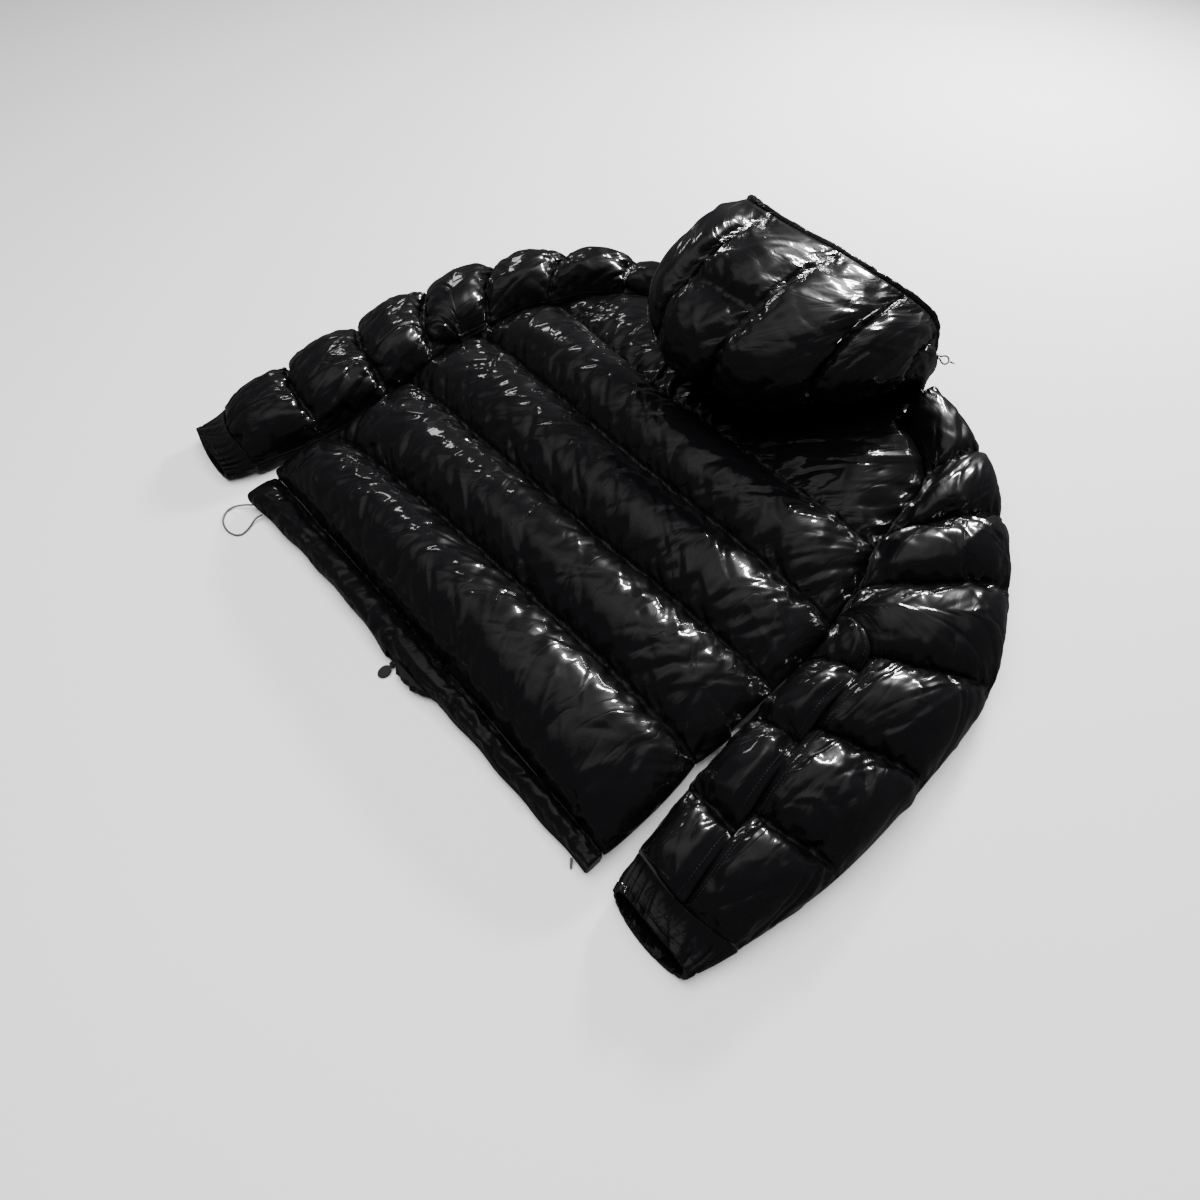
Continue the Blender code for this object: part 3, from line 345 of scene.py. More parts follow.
def shoulder(distance: Grid, radius: float) -> Grid:
    """A rounded edge's profile: 0 at the edge, 1 from its radius inwards."""
    inside = np.clip(distance / radius, 0.0, 1.0)
    return np.sqrt(1.0 - (1.0 - inside) ** 2)


def even_columns(dense: Grid, count: int, also: Sequence[Grid] = ()) -> tuple[Grid, list[Grid]]:
    """Takes evenly spaced points along each row of a denser grid.

    Args:
        dense: the grid, with many columns.
        count: how many columns to keep.
        also: more values at the dense grid's points.

    Returns:
        The grid with its new columns, and the other values there.
    """
    steps = np.linalg.norm(np.diff(dense, axis=1), axis=2)
    kept = np.empty((dense.shape[0], count, 3))
    kept_also = [np.empty((dense.shape[0], count)) for _ in also]
    for i, step in enumerate(steps):
        run = np.concatenate(([0.0], np.cumsum(step)))
        at = np.linspace(0.0, run[-1], count)
        for axis in range(3):
            kept[i, :, axis] = np.interp(at, run, dense[i, :, axis])
        for values, target in zip(also, kept_also):
            target[i] = np.interp(at, run, values[i])
    return kept, kept_also


def channel_rows(widths: Sequence[float], spacing: float) -> tuple[np.ndarray, list[int]]:
    """Rows across a run of channels, a little closer together beside the sewn lines.

    Args:
        widths: how much cloth there is across each channel.
        spacing: how far apart the rows are.

    Returns:
        The rows' places, whole numbers on the sewn lines, and the row numbers of those lines.
    """
    places, lines = [], []
    for number, width in enumerate(widths):
        count = max(4, round(width / spacing))
        share = np.arange(count) / count
        lines.append(len(places))
        places += list(number + 0.55 * share + 0.225 * (1 - np.cos(np.pi * share)))
    lines.append(len(places))
    places.append(float(len(widths)))
    return np.array(places), lines


def finer(values: Grid) -> Grid:
    """Puts one smooth point between every two of a grid, along its rows and its columns."""
    for axis in (0, 1):
        v = np.moveaxis(values, axis, 0)
        ends = np.concatenate((2 * v[:1] - v[1:2], v, 2 * v[-1:] - v[-2:-1]))
        between = (9 * (ends[1:-2] + ends[2:-1]) - (ends[:-3] + ends[3:])) / 16
        fine = np.empty((2 * len(v) - 1, *v.shape[1:]))
        fine[0::2] = v
        fine[1::2] = between
        values = np.moveaxis(fine, 0, axis)
    return values


def run_lengths(points: Grid, axis: int) -> Grid:
    """How far each point of a grid lies along its row (axis 1) or its column (axis 0)."""
    steps = np.linalg.norm(np.diff(points, axis=axis), axis=2)
    start = np.zeros_like(np.take(steps, [0], axis=axis))
    return np.concatenate((start, np.cumsum(steps, axis=axis)), axis=axis)


def normals_of(points: Grid) -> Grid:
    """Unit normals of a grid, to the left of its rows seen along its columns."""
    normal = np.cross(np.gradient(points, axis=1), np.gradient(points, axis=0))
    return normal / np.maximum(np.linalg.norm(normal, axis=2, keepdims=True), 1e-12)


def softened(values: Grid, passes: int) -> Grid:
    """Blurs a grid's values along its rows and columns; its border stays as it is."""
    for _ in range(passes):
        blurred = values.copy()
        blurred[1:-1] = 0.5 * values[1:-1] + 0.25 * (values[:-2] + values[2:])
        values = blurred.copy()
        values[:, 1:-1] = 0.5 * blurred[:, 1:-1] + 0.25 * (blurred[:, :-2] + blurred[:, 2:])
    return values


def soft_noise(shape: tuple[int, int], rng: np.random.Generator, passes: int = 2) -> Grid:
    """Random numbers over a grid, blurred and scaled to a deviation of 1."""
    noise = rng.normal(size=shape)
    for _ in range(passes):
        noise = (noise + np.roll(noise, 1, 0) + np.roll(noise, -1, 0)
                 + np.roll(noise, 1, 1) + np.roll(noise, -1, 1)) / 5
    return noise / noise.std()


# ---------------------------------------------------------------- the pattern in plan

class Pattern:
    """Plan and heights of the garment's cuts, from the tables above."""

    @staticmethod
    def sleeve_end(side: Side, end: str, place: Grid) -> tuple[Grid, Grid]:
        """Points (x, y) on the inner or outer edge of a sleeve at fractional stations."""
        return (read(column(side.stations, f"{end}_x"), place),
                read(column(side.stations, f"{end}_y"), place))

    @staticmethod
    def armhole(side: Side) -> tuple[Grid, Grid]:
        """The body's edge up the armhole, just clear of the sleeve's edge."""
        x, y = Pattern.sleeve_end(side, "inner", np.linspace(4.35, 0.0, 80))
        up = y >= ARMPIT_Y
        x, y = x[up], y[up]
        dx, dy = np.gradient(x), np.gradient(y)
        length = np.hypot(dx, dy)
        return (x - side.value * dy / length * ARMHOLE_GAP,
                y - np.abs(dx) / length * ARMHOLE_GAP)

    @staticmethod
    def body_edge(side: Side, y: Grid) -> Grid:
        """x of the body's edge at height y, at the side seam or the armhole."""
        hole_x, hole_y = Pattern.armhole(side)
        ys = np.concatenate((column(SIDE_ROWS, "y"), hole_y))
        xs = np.concatenate((column(SIDE_ROWS, side.word), hole_x))
        order = np.argsort(ys, kind="stable")
        return np.interp(y, ys[order], xs[order])

    @staticmethod
    def line_y(number: Grid, u: Grid) -> Grid:
        """y of a sewn line of the back at u from the left edge (0) to the right one (1)."""
        left, middle, right = (read(column(BACK_LINES, end), number)
                               for end in ("left", "middle", "right"))
        return ((2 * u - 1) * (u - 1) * left + 4 * u * (1 - u) * middle
                + u * (2 * u - 1) * right)

    @staticmethod
    def yoke_height(x: Grid, y: Grid) -> Grid:
        """Height of the yoke's outer side under a point, or 0 off the yoke."""
        up = np.clip((y - YOKE_Y[0]) / (YOKE_Y[1] - YOKE_Y[0]), 0.0, 1.0)
        u = 0.5 + 0.5 * x / mix(*YOKE_HALF, up)
        top = len(BACK_LINES) - 1
        on_yoke = (u > 0.0) & (u < 1.0) & (y <= Pattern.line_y(float(top), u))
        bed = BACK_VALLEY * plateau(np.clip(u, 0.0, 1.0), 3.2)
        return np.where(on_yoke, LAYER + EDGE + bed + YOKE_CROWN, 0.0)

    @staticmethod
    def elbow_share(side: Side, place: Grid) -> Grid:
        """Where the elbow seam lies between the inner and outer edge, 0 before it starts."""
        shares = column(side.stations, "elbow")
        full = shares[int(ELBOW[2])]
        start = np.interp(place, ELBOW, (0.0, 0.7 * full, full))
        return np.where(np.asarray(place) < ELBOW[2], start, read(shares, place))

    @staticmethod
    def sleeve_plan(side: Side, place: Grid, u: Grid) -> tuple[Grid, Grid]:
        """Plan point of a sleeve at a station and u from its inner (0) to its outer edge (1)."""
        inner_x, inner_y = Pattern.sleeve_end(side, "inner", place)
        outer_x, outer_y = Pattern.sleeve_end(side, "outer", place)
        bow = SLEEVE_BOW * np.sin(np.pi * u) * np.minimum(1.0, place / 1.5)
        return mix(inner_x, outer_x, u), mix(inner_y, outer_y, u) - bow

    @staticmethod
    def sleeve_rise(side: Side, place: Grid, u: Grid, shift: float = 0.0) -> Grid:
        """Height of the upper sleeve over the plane between the layers."""
        rows = side.stations
        last = len(rows) - 1
        shifted = np.clip(place + shift, 0.0, float(last))
        number = np.minimum(shifted.astype(int), last - 1)
        rise = read(column(rows, "crown"), np.minimum(number + 0.5, last - 1.0))
        bed = SLEEVE_VALLEY[side.word] * np.minimum(1.0, 0.45 + 0.275 * place)
        bed = bed * (1.0 - 0.45 * np.maximum(0.0, place - (last - 1.0)))
        f = shifted - number
        channel = np.where(number > 0, crown(f), crown(mix(HEAD_START, 1.0, f)))
        return (bed + rise * channel) * plateau(u, 3.0)

    @staticmethod
    def hem_edge(x: Grid, layer: str) -> Grid:
        """y of the free edge of the back's or the fronts' hem band, gently waved."""
        edge = np.interp(x, column(HEM_ROWS, "x"), column(HEM_ROWS, layer))
        return edge + 0.0008 * np.sin(x * 95.0 + 1.0)

    @staticmethod
    def hem_plane(x: Grid) -> Grid:
        """Height of the plane between the two hem bands."""
        inwards = np.cos(np.minimum(np.abs(x) / HEM_HALF, 1.0) * math.pi / 2) ** 2
        return mix(0.0125, 0.0185, inwards)

    @staticmethod
    def hood(place: Grid, angle: Grid, inset: float) -> Grid:
        """Points of the hood's plain shell.

        Args:
            place: fractional ring numbers, from the neck seam to the rim.
            angle: angles round the rings: 0 at the front, a half turn over the spine.
            inset: how far the points move in, towards the hollow.

        Returns:
            The points, in the shape of place and angle with one more axis.
        """
        place, angle = np.broadcast_arrays(place, angle)

        def ring(name: str) -> Grid:
            return read(column(HOOD_RINGS, name), place)

        back = np.stack((ring("back_y"), ring("back_z")), -1)
        front = np.stack((ring("front_y"), ring("front_z")), -1)
        beside = np.stack((ring("side_y"), ring("side_z")), -1)
        middle = (back + front) / 2
        c, s = np.cos(angle), np.sin(angle)
        square = ring("square") - np.where(s < 0, LEFT_SQUARER, 0.0)
        boxy = np.sign(c) * np.abs(c) ** square
        across = np.sign(s) * np.abs(s) ** np.where(c < 0, square, 1.0)
        x = across * np.where(s > 0, ring("right"), ring("left"))
        yz = middle - (back - middle) * boxy[..., None] + (beside - middle) * (s * s)[..., None]
        low = mix(beside[..., 1], front[..., 1], np.clip(c, 0.0, 1.0) ** ring("flat"))
        height = np.where(c < 0, yz[..., 1], low)
        lifted = np.maximum(0.0, (yz[..., 1] - middle[..., 1]) / (back[..., 1] - middle[..., 1]))
        height = height + lifted * across**2 * np.where(s < 0, ring("peak"), -ring("droop"))
        points = np.stack((x, yz[..., 0], height), -1)
        inwards = np.stack((0 * x, ring("heart_y"), ring("heart_z")), -1) - points
        return points + inwards / np.linalg.norm(inwards, axis=-1, keepdims=True) * inset

    @staticmethod
    def rim_middle(angle: Grid) -> Grid:
        """Middle of the rim casing at angles round it, just past the edge of the hood."""
        last = float(len(HOOD_RINGS) - 1)
        edge = Pattern.hood(last, angle, HOOD_WALL / 2)
        outwards = edge - Pattern.hood(last - 0.1, angle, HOOD_WALL / 2)
        tangent = (Pattern.hood(last, angle + 0.02, HOOD_WALL / 2)
                   - Pattern.hood(last, angle - 0.02, HOOD_WALL / 2))
        tangent /= np.linalg.norm(tangent, axis=-1, keepdims=True)
        outwards -= tangent * np.sum(outwards * tangent, -1, keepdims=True)
        outwards /= np.linalg.norm(outwards, axis=-1, keepdims=True)
        middle = edge + outwards * (RIM_RADIUS + RIM_GAP)
        middle[..., 2] = np.maximum(middle[..., 2], RIM_RADIUS)
        return middle


# ---------------------------------------------------------------- finishes

class Nodes:
    """A small helper that adds shader nodes and links them."""

    def __init__(self, name: str) -> None:
        """Starts a material with its Principled shader."""
        self.material = bpy.data.materials.new(name)
        self.material.use_nodes = True
        self.tree = self.material.node_tree
        self.shader = self.tree.nodes["Principled BSDF"]

    def add(self, kind: str, inputs: dict | None = None, **settings: object) -> bpy.types.Node:
        """Adds a node.

        Args:
            kind: the node's type, without its ShaderNode prefix.
            inputs: values or output sockets for its inputs, by name or number.
            settings: its own properties.

        Returns:
            The node.
        """
        node = self.tree.nodes.new(f"ShaderNode{kind}")
        for name, value in settings.items():
            setattr(node, name, value)
        for name, value in (inputs or {}).items():
            self.feed(node.inputs[name], value)
        return node

    def feed(self, socket: bpy.types.NodeSocket, value: object) -> None:
        """Links an output to a socket, or sets the socket's own value."""
        if isinstance(value, bpy.types.NodeSocket):
            self.tree.links.new(value, socket)
        else:
            socket.default_value = value

    def ramp(self, source: bpy.types.NodeSocket, low: float, high: float,
             to_low: float, to_high: float) -> bpy.types.NodeSocket:
        """Maps a value from one range to another, held at both ends."""
        node = self.add("MapRange", {0: source, 1: low, 2: high, 3: to_low, 4: to_high})
        return node.outputs[0]

    def tint(self, place: bpy.types.NodeSocket, scale: float, low: tuple[float, ...],
             high: tuple[float, ...]) -> None:
        """Colours the shader between two colours, by a soft noise."""
        cloud = self.add("TexNoise", {"Vector": place, "Scale": scale}).outputs[0]
        mixed = self.add("Mix", data_type="RGBA")
        for socket, value in (("Factor", cloud), ("A", low), ("B", high)):
            self.feed(mixed.inputs[socket], value)
        self.feed(self.shader.inputs["Base Color"], mixed.outputs["Result"])

    def maths(self, operation: str, a: object, b: object) -> bpy.types.NodeSocket:
        """Joins two values by a mathematical operation."""
        return self.add("Math", {0: a, 1: b}, operation=operation).outputs[0]


@dataclass(frozen=True)
class Nylon:
    """Black nylon with a wet gloss: thin cloth that creases sharply over its filling."""

    name: str = "glossy black nylon"
    colour: tuple[float, float, float, float] = (0.0022, 0.0022, 0.0026, 1.0)
    gloss: tuple[float, float] = (0.26, 0.38)
    coat: float = 0.90
    coat_roughness: float = 0.045
    swell_depth: float = 0.00040
    crease_depth: float = 0.00022
    gather_depth: float = 0.00055
    weave_depth: float = 0.00002

    def creases(self, n: Nodes, lay: bpy.types.NodeSocket, scale: tuple[float, float, float],
                width: float) -> bpy.types.NodeSocket:
        """Thin creases along the level lines of a noise that is drawn out across the channels."""
        drawn = n.add("Mapping", {0: lay, "Scale": scale}).outputs[0]
        noise = n.add("TexNoise", {"Vector": drawn, "Scale": 1.0, "Detail": 1.0,
                                   "Roughness": 0.4, "Distortion": 1.1}).outputs[0]
        off_level = n.maths("ABSOLUTE", n.maths("SUBTRACT", noise, 0.5), 0.0)
        return n.ramp(off_level, 0.0, width, 0.0, 1.0)

    def material(self) -> bpy.types.Material:
        """Builds the nylon: soft swells, thin creases, gathers beside the sewn lines, weave."""
        n = Nodes(self.name)
        lay = n.add("UVMap", uv_map="lay").outputs[0]
        near = n.add("Attribute", attribute_name="near_seam").outputs["Fac"]
        place = n.add("TexCoord").outputs["Object"]

        drawn = n.add("Mapping", {0: lay, "Scale": (52.0, 20.0, 1.0)}).outputs[0]
        swells = n.add("TexNoise", {"Vector": drawn, "Scale": 1.0, "Detail": 1.5,
                                    "Roughness": 0.45, "Distortion": 0.9}).outputs[0]
        first = n.add("Bump", {"Strength": 0.7, "Distance": self.swell_depth,
                               "Height": swells}).outputs[0]
        wide = self.creases(n, lay, (30.0, 11.0, 1.0), 0.075)
        fine = self.creases(n, lay, (75.0, 22.0, 1.0), 0.10)
        both = n.maths("ADD", wide, n.maths("MULTIPLY", fine, 0.15))
        second = n.add("Bump", {"Strength": 0.8, "Distance": self.crease_depth,
                                "Height": both, "Normal": first}).outputs[0]

        along = n.add("Mapping", {0: lay, "Scale": (170.0, 24.0, 1.0)}).outputs[0]
        gathers = n.add("TexNoise", {"Vector": along, "Scale": 1.0, "Detail": 1.0,
                                     "Roughness": 0.5, "Distortion": 0.5}).outputs[0]
        folded = n.ramp(gathers, 0.36, 0.64, 0.0, 1.0)
        pleats = n.maths("MULTIPLY", folded, near)
        third = n.add("Bump", {"Strength": 0.8, "Distance": self.gather_depth,
                               "Height": pleats, "Normal": second}).outputs[0]

        weave = n.add("TexNoise", {"Vector": place, "Scale": 1600.0}).outputs[0]
        woven = n.add("Bump", {"Strength": 0.25, "Distance": self.weave_depth,
                               "Height": weave, "Normal": third}).outputs[0]

        cloud = n.add("TexNoise", {"Vector": place, "Scale": 9.0, "Detail": 3.0}).outputs[0]
        n.feed(n.shader.inputs["Base Color"], self.colour)
        n.feed(n.shader.inputs["Roughness"], n.ramp(cloud, 0.3, 0.7, *self.gloss))
        n.feed(n.shader.inputs["Coat Weight"], self.coat)
        n.feed(n.shader.inputs["Coat Roughness"], self.coat_roughness)
        n.feed(n.shader.inputs["Specular IOR Level"], 0.12)
        n.feed(n.shader.inputs["Normal"], woven)
        n.feed(n.shader.inputs["Coat Normal"], third)
        return n.material


@dataclass(frozen=True)
class Woven:
    """A dull woven finish: zip tape, thread and elastic cord."""

    name: str
    colour: tuple[float, float, float, float]
    roughness: float = 0.75
    threads: float = 900.0
    depth: float = 0.00012

    def material(self) -> bpy.types.Material:
        """Builds the weave as two crossed waves with a little colour variation."""
        n = Nodes(self.name)
        place = n.add("TexCoord").outputs["Object"]
        waves = [n.add("TexWave", {"Vector": place, "Scale": self.threads, "Distortion": 0.4},
                       bands_direction=axis).outputs["Fac"] for axis in ("X", "Y")]
        weave = n.maths("MULTIPLY", *waves)
        darker = tuple(0.6 * c for c in self.colour[:3]) + (1.0,)
        n.tint(place, 300.0, darker, self.colour)
        n.feed(n.shader.inputs["Roughness"], self.roughness)
        n.feed(n.shader.inputs["Normal"], n.add("Bump", {
            "Strength": 0.6, "Distance": self.depth, "Height": weave}).outputs[0])
        return n.material


@dataclass(frozen=True)
class Moulded:
    """Moulded black plastic with a fine satin grain."""

    name: str = "black moulded plastic"
    colour: tuple[float, float, float, float] = (0.013, 0.013, 0.014, 1.0)
    roughness: tuple[float, float] = (0.30, 0.46)
    grain: float = 0.00006

    def material(self) -> bpy.types.Material:
        """Builds the plastic's grain and its slightly uneven gloss."""
        n = Nodes(self.name)
        place = n.add("TexCoord").outputs["Object"]
        grain = n.add("TexNoise", {"Vector": place, "Scale": 2500.0, "Detail": 2.0}).outputs[0]
        cloud = n.add("TexNoise", {"Vector": place, "Scale": 220.0, "Detail": 2.0}).outputs[0]
        n.feed(n.shader.inputs["Base Color"], self.colour)
        n.feed(n.shader.inputs["Roughness"], n.ramp(cloud, 0.3, 0.7, *self.roughness))
        n.feed(n.shader.inputs["Normal"], n.add("Bump", {
            "Strength": 0.5, "Distance": self.grain, "Height": grain}).outputs[0])
        return n.material


class Wardrobe:
    """The jacket's finishes, each made once."""

    def __init__(self) -> None:
        """Builds the materials."""
        self.nylon = Nylon().material()
        self.tape = Woven("black zip tape", (0.016, 0.016, 0.017, 1.0), 0.8).material()
        self.thread = Woven("black thread", (0.012, 0.012, 0.013, 1.0), 0.55,
                            1500.0).material()
        self.elastic = Woven("grey elastic", (0.11, 0.11, 0.115, 1.0), 0.62, 420.0,
                             0.0003).material()
        self.black_elastic = Woven("black elastic", (0.020, 0.020, 0.021, 1.0), 0.5, 420.0,
                                   0.0003).material()
        self.plastic = Moulded().material()


# ---------------------------------------------------------------- meshes

def closed_mesh(name: str, points: np.ndarray, faces: list) -> bpy.types.Mesh:
    """Makes a mesh in the frame's place, with its normals pointing out."""
    mesh = bpy.data.meshes.new(name)
    mesh.from_pydata((points + ORIGIN).tolist(), [], faces)
    body = bmesh.new()
    body.from_mesh(mesh)
    bmesh.ops.recalc_face_normals(body, faces=body.faces)
    body.to_mesh(mesh)
    body.free()
    return mesh


def link(name: str, data: bpy.types.ID) -> bpy.types.Object:
    """Puts a mesh or a curve into the scene as an object."""
    piece = bpy.data.objects.new(name, data)
    bpy.context.scene.collection.objects.link(piece)
    return piece


def lay_uv(mesh: bpy.types.Mesh, lay: Grid, near: Grid) -> None:
    """Gives a mesh what the nylon reads.

    Args:
        mesh: the mesh.
        lay: for each vertex, how far it lies along and across the cloth.
        near: for each vertex, how near it is to a sewn line, from 0 to 1.
    """
    corner = np.empty(len(mesh.loops), np.int32)
    mesh.loops.foreach_get("vertex_index", corner)
    mesh.uv_layers.new(name="lay").data.foreach_set("uv", lay[corner].ravel())
    mesh.attributes.new("near_seam", "FLOAT", "POINT").data.foreach_set("value", near)


# ---------------------------------------------------------------- padded cuts

@dataclass(frozen=True)
class Filling:
    """How a cut is blown up: its pressure, how slack its cloth is and how far it may move."""

    pressure: float = 3.5
    slack_middle: float = 0.004
    slack_seam: float = 0.060
    bending: float = 0.10
    frames: int = 20
    reach: float = 0.009
    seam_width: float = 0.040
    crumple: float = 0.0003
    softening: int = 1


@dataclass(frozen=True)
class Folds:
    """One kind of fold: how far apart they are and how much they may slant.

    Each pair is the least and the most of a fold's width, depth and length.
    """

    spacing: float
    width: tuple[float, float]
    depth: tuple[float, float]
    length: tuple[float, float]
    slant: float


PUCKERS = Folds(0.0070, (0.0030, 0.0052), (0.0009, 0.0022), (0.007, 0.020), 0.5)
CREASES = Folds(0.0240, (0.0044, 0.0090), (0.0010, 0.0027), (0.020, 0.050), 0.8)
SCATTERED = Folds(0.0215, (0.0038, 0.0085), (0.0006, 0.0021), (0.010, 0.032), 1.3)
DRAWN = Folds(0.0110, (0.0032, 0.0060), (0.0010, 0.0026), (0.010, 0.028), 1.0)
RIBS = Folds(0.0060, (0.0018, 0.0034), (0.0004, 0.0014), (0.006, 0.016), 0.9)


@dataclass
class Cut:
    """A cut of padded cloth, drawn as a grid whose rows run along its channels.

    lines are the rows that are sewn down, and sewn_marks other sewn stretches of the grid.
    heart is a point on the cloth's inner side. low and high bound its points' heights, and
    valley is how deep its sewn lines draw it down. Without an inner grid the cut is closed by a
    flat base at the height of base. crossing says, for each row, the share of its length at
    which a seam crosses it, or nan. edge_stitches are the columns with a row of stitches.
    """

    node: str
    points: Grid
    lines: list[int]
    heart: tuple[float, float, float]
    base: float | None = None
    inner: Grid | None = None
    sewn_marks: list[tuple[slice, slice]] = field(default_factory=list)
    low: float = -1.0
    high: float = 1.0
    filling: Filling = Filling()
    folds: tuple[Folds, ...] = (PUCKERS, CREASES)
    valley: float = 0.0016
    crossing: Grid | None = None
    edge_stitches: tuple[int, ...] = ()

    def held(self) -> Grid:
        """1 where the cloth is sewn down, and 0 elsewhere."""
        held = np.zeros(self.points.shape[:2])
        held[0] = held[-1] = 1.0
        held[:, 0] = held[:, -1] = 1.0
        held[self.lines] = 1.0
        for rows, columns in self.sewn_marks:
            held[rows, columns] = 1.0
        return held

    def outwards(self, points: Grid) -> tuple[Grid, bool]:
        """Unit normals that point away from the heart, and whether they had to be turned."""
        normal = normals_of(points)
        turned = bool(np.sum(normal * (points - np.array(self.heart))) < 0)
        return (-normal if turned else normal), turned

    def from_line(self, points: Grid) -> Grid:
        """How far each point lies from the nearest sewn line, measured over the cloth."""
        run = run_lengths(points, 0)
        away = np.full(run.shape, np.inf)
        for line in self.lines:
            away = np.minimum(away, np.abs(run - run[line]))
        return away


class Tailor:
    """Turns cuts into finished padded pieces."""

    def __init__(self, wardrobe: Wardrobe) -> None:
        """Keeps the finishes and starts with no piece made."""
        self.wardrobe = wardrobe
        self.surfaces: dict[str, Grid] = {}

    def sew(self, cut: Cut) -> bpy.types.Object:
        """Makes one padded piece.

        Args:
            cut: the cut to make.

        Returns:
            The finished piece, which replaces the cut's node.
        """
        rng = np.random.default_rng(sum(map(ord, cut.node)))
        points = self.blow_up(cut, rng)
        cut.lines = [2 * line for line in cut.lines]
        if cut.crossing is not None:
            cut.crossing = np.interp(np.arange(2 * len(cut.crossing) - 1) / 2,
                                     np.arange(len(cut.crossing)), cut.crossing)
        cut.sewn_marks = [(slice(2 * rows.start, 2 * rows.stop + 1),
                           slice(2 * columns.start, 2 * columns.start + 1))
                          for rows, columns in cut.sewn_marks]
        points = finer(points)
        inner = None if cut.inner is None else finer(cut.inner)
        points = self.gather(cut, points, rng)
        points[..., 2] = np.clip(points[..., 2], cut.low, cut.high)
        self.surfaces[cut.node] = points
        log.info("%s: %s grid", cut.node, points.shape[:2])
        piece = self.close(cut, points, inner)
        piece.data.materials.append(self.wardrobe.nylon)
        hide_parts(cut.node)
        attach(piece, JACKET)
        log.info("%s: %d triangles", piece.name, 2 * len(piece.data.polygons))
        return piece

    def blow_up(self, cut: Cut, rng: np.random.Generator) -> Grid:
        """Simulates the cut's cloth under pressure, held along its sewn lines.

        Args:
            cut: the cut.
            rng: its random numbers, for the first uneven creases.

        Returns:
            The cloth's points, none further from its start than the filling's reach.
        """
        filling, held = cut.filling, cut.held()
        normal, turned = cut.outwards(cut.points)
        noise = soft_noise(held.shape, rng) * filling.crumple * (1 - held)
        start = cut.points + normal * noise[..., None]
        cloth = self.grid_object("cloth", start, turned)

        sewn = cloth.vertex_groups.new(name="sewn")
        sewn.add(np.flatnonzero(held).tolist(), 1.0, "REPLACE")
        tight = np.clip(cut.from_line(cut.points) / filling.seam_width, 0.0, 1.0).ravel()
        slack = cloth.vertex_groups.new(name="slack")
        for share in np.unique(np.round(tight, 1)):
            chosen = np.flatnonzero(np.round(tight, 1) == share)
            slack.add(chosen.tolist(), float(share), "REPLACE")

        modifier = cloth.modifiers.new("Cloth", "CLOTH")
        settings = modifier.settings
        settings.quality = 5
        settings.mass = 0.3
        settings.air_damping = 2.0
        settings.tension_stiffness = settings.compression_stiffness = 20.0
        settings.shear_stiffness = 5.0
        settings.bending_stiffness = filling.bending
        settings.vertex_group_mass = "sewn"
        settings.use_pressure = True
        settings.uniform_pressure_force = filling.pressure
        settings.vertex_group_shrink = "slack"
        settings.shrink_min = -filling.slack_seam
        settings.shrink_max = -filling.slack_middle
        settings.effector_weights.gravity = 0.0
        modifier.collision_settings.use_collision = False
        modifier.point_cache.frame_start = 1
        modifier.point_cache.frame_end = filling.frames + 1
        for frame in range(1, filling.frames + 1):
            bpy.context.scene.frame_set(frame)
        done = cloth.evaluated_get(bpy.context.evaluated_depsgraph_get())
        flat = np.empty(start.size)
        done.data.vertices.foreach_get("co", flat)
        bpy.data.objects.remove(cloth, do_unlink=True)

        moved = flat.reshape(start.shape) - cut.points
        far = np.linalg.norm(moved, axis=2, keepdims=True)
        log.info("%s: %d points, moved %.1f mm at most", cut.node, start.size // 3,
                 1000 * far.max())
        moved *= np.minimum(1.0, filling.reach / np.maximum(far, 1e-9))
        return cut.points + softened(moved, filling.softening) * (1.0 - held[..., None])

    def gather(self, cut: Cut, points: Grid, rng: np.random.Generator) -> Grid:
        """Presses narrow folds into the cloth on both sides of each sewn line.

        Args:
            cut: the cut, with its lines numbered for these points.
            points: the blown-up cloth.
            rng: the cut's random numbers.

        Returns:
            The cloth with its folds.
        """
        normal, _ = cut.outwards(points)
        run, along = run_lengths(points, 0), run_lengths(points, 1)
        sink = np.zeros(points.shape[:2])
        for line in cut.lines if cut.inner is not None else cut.lines[1:-1]:
            sink += cut.valley * furrow(run - run[line])
        for first, last in zip(cut.lines[:-1], cut.lines[1:]):
            rows = slice(first, last + 1)
            for line, sign in ((first, 1), (last, -1)):
                away = sign * (run[rows] - run[line])
                self.press(cut.folds, away, along[rows], sink[rows], rng)
        for rows, columns in cut.sewn_marks:
            away = along[rows] - along[rows, columns]
            sink[rows] += cut.valley * furrow(away)
            for sign in (1, -1):
                self.press(cut.folds, sign * away, run[rows] - run[rows.start], sink[rows], rng)
        if cut.crossing is not None:
            away = along - (cut.crossing * along[:, -1])[:, None]
            sink += np.nan_to_num(cut.valley * furrow(away))
            for sign in (1, -1):
                self.press((PUCKERS,), np.nan_to_num(sign * away, nan=-1.0), run, sink, rng)
        self.scatter(SCATTERED, run, along, sink, rng)
        edge = np.minimum(along, along[:, -1:] - along)
        sink *= np.clip(edge / EDGE_FADE, 0.0, 1.0)
        if cut.inner is None:
            sink[0] = sink[-1] = 0.0
        return points - normal * sink[..., None]

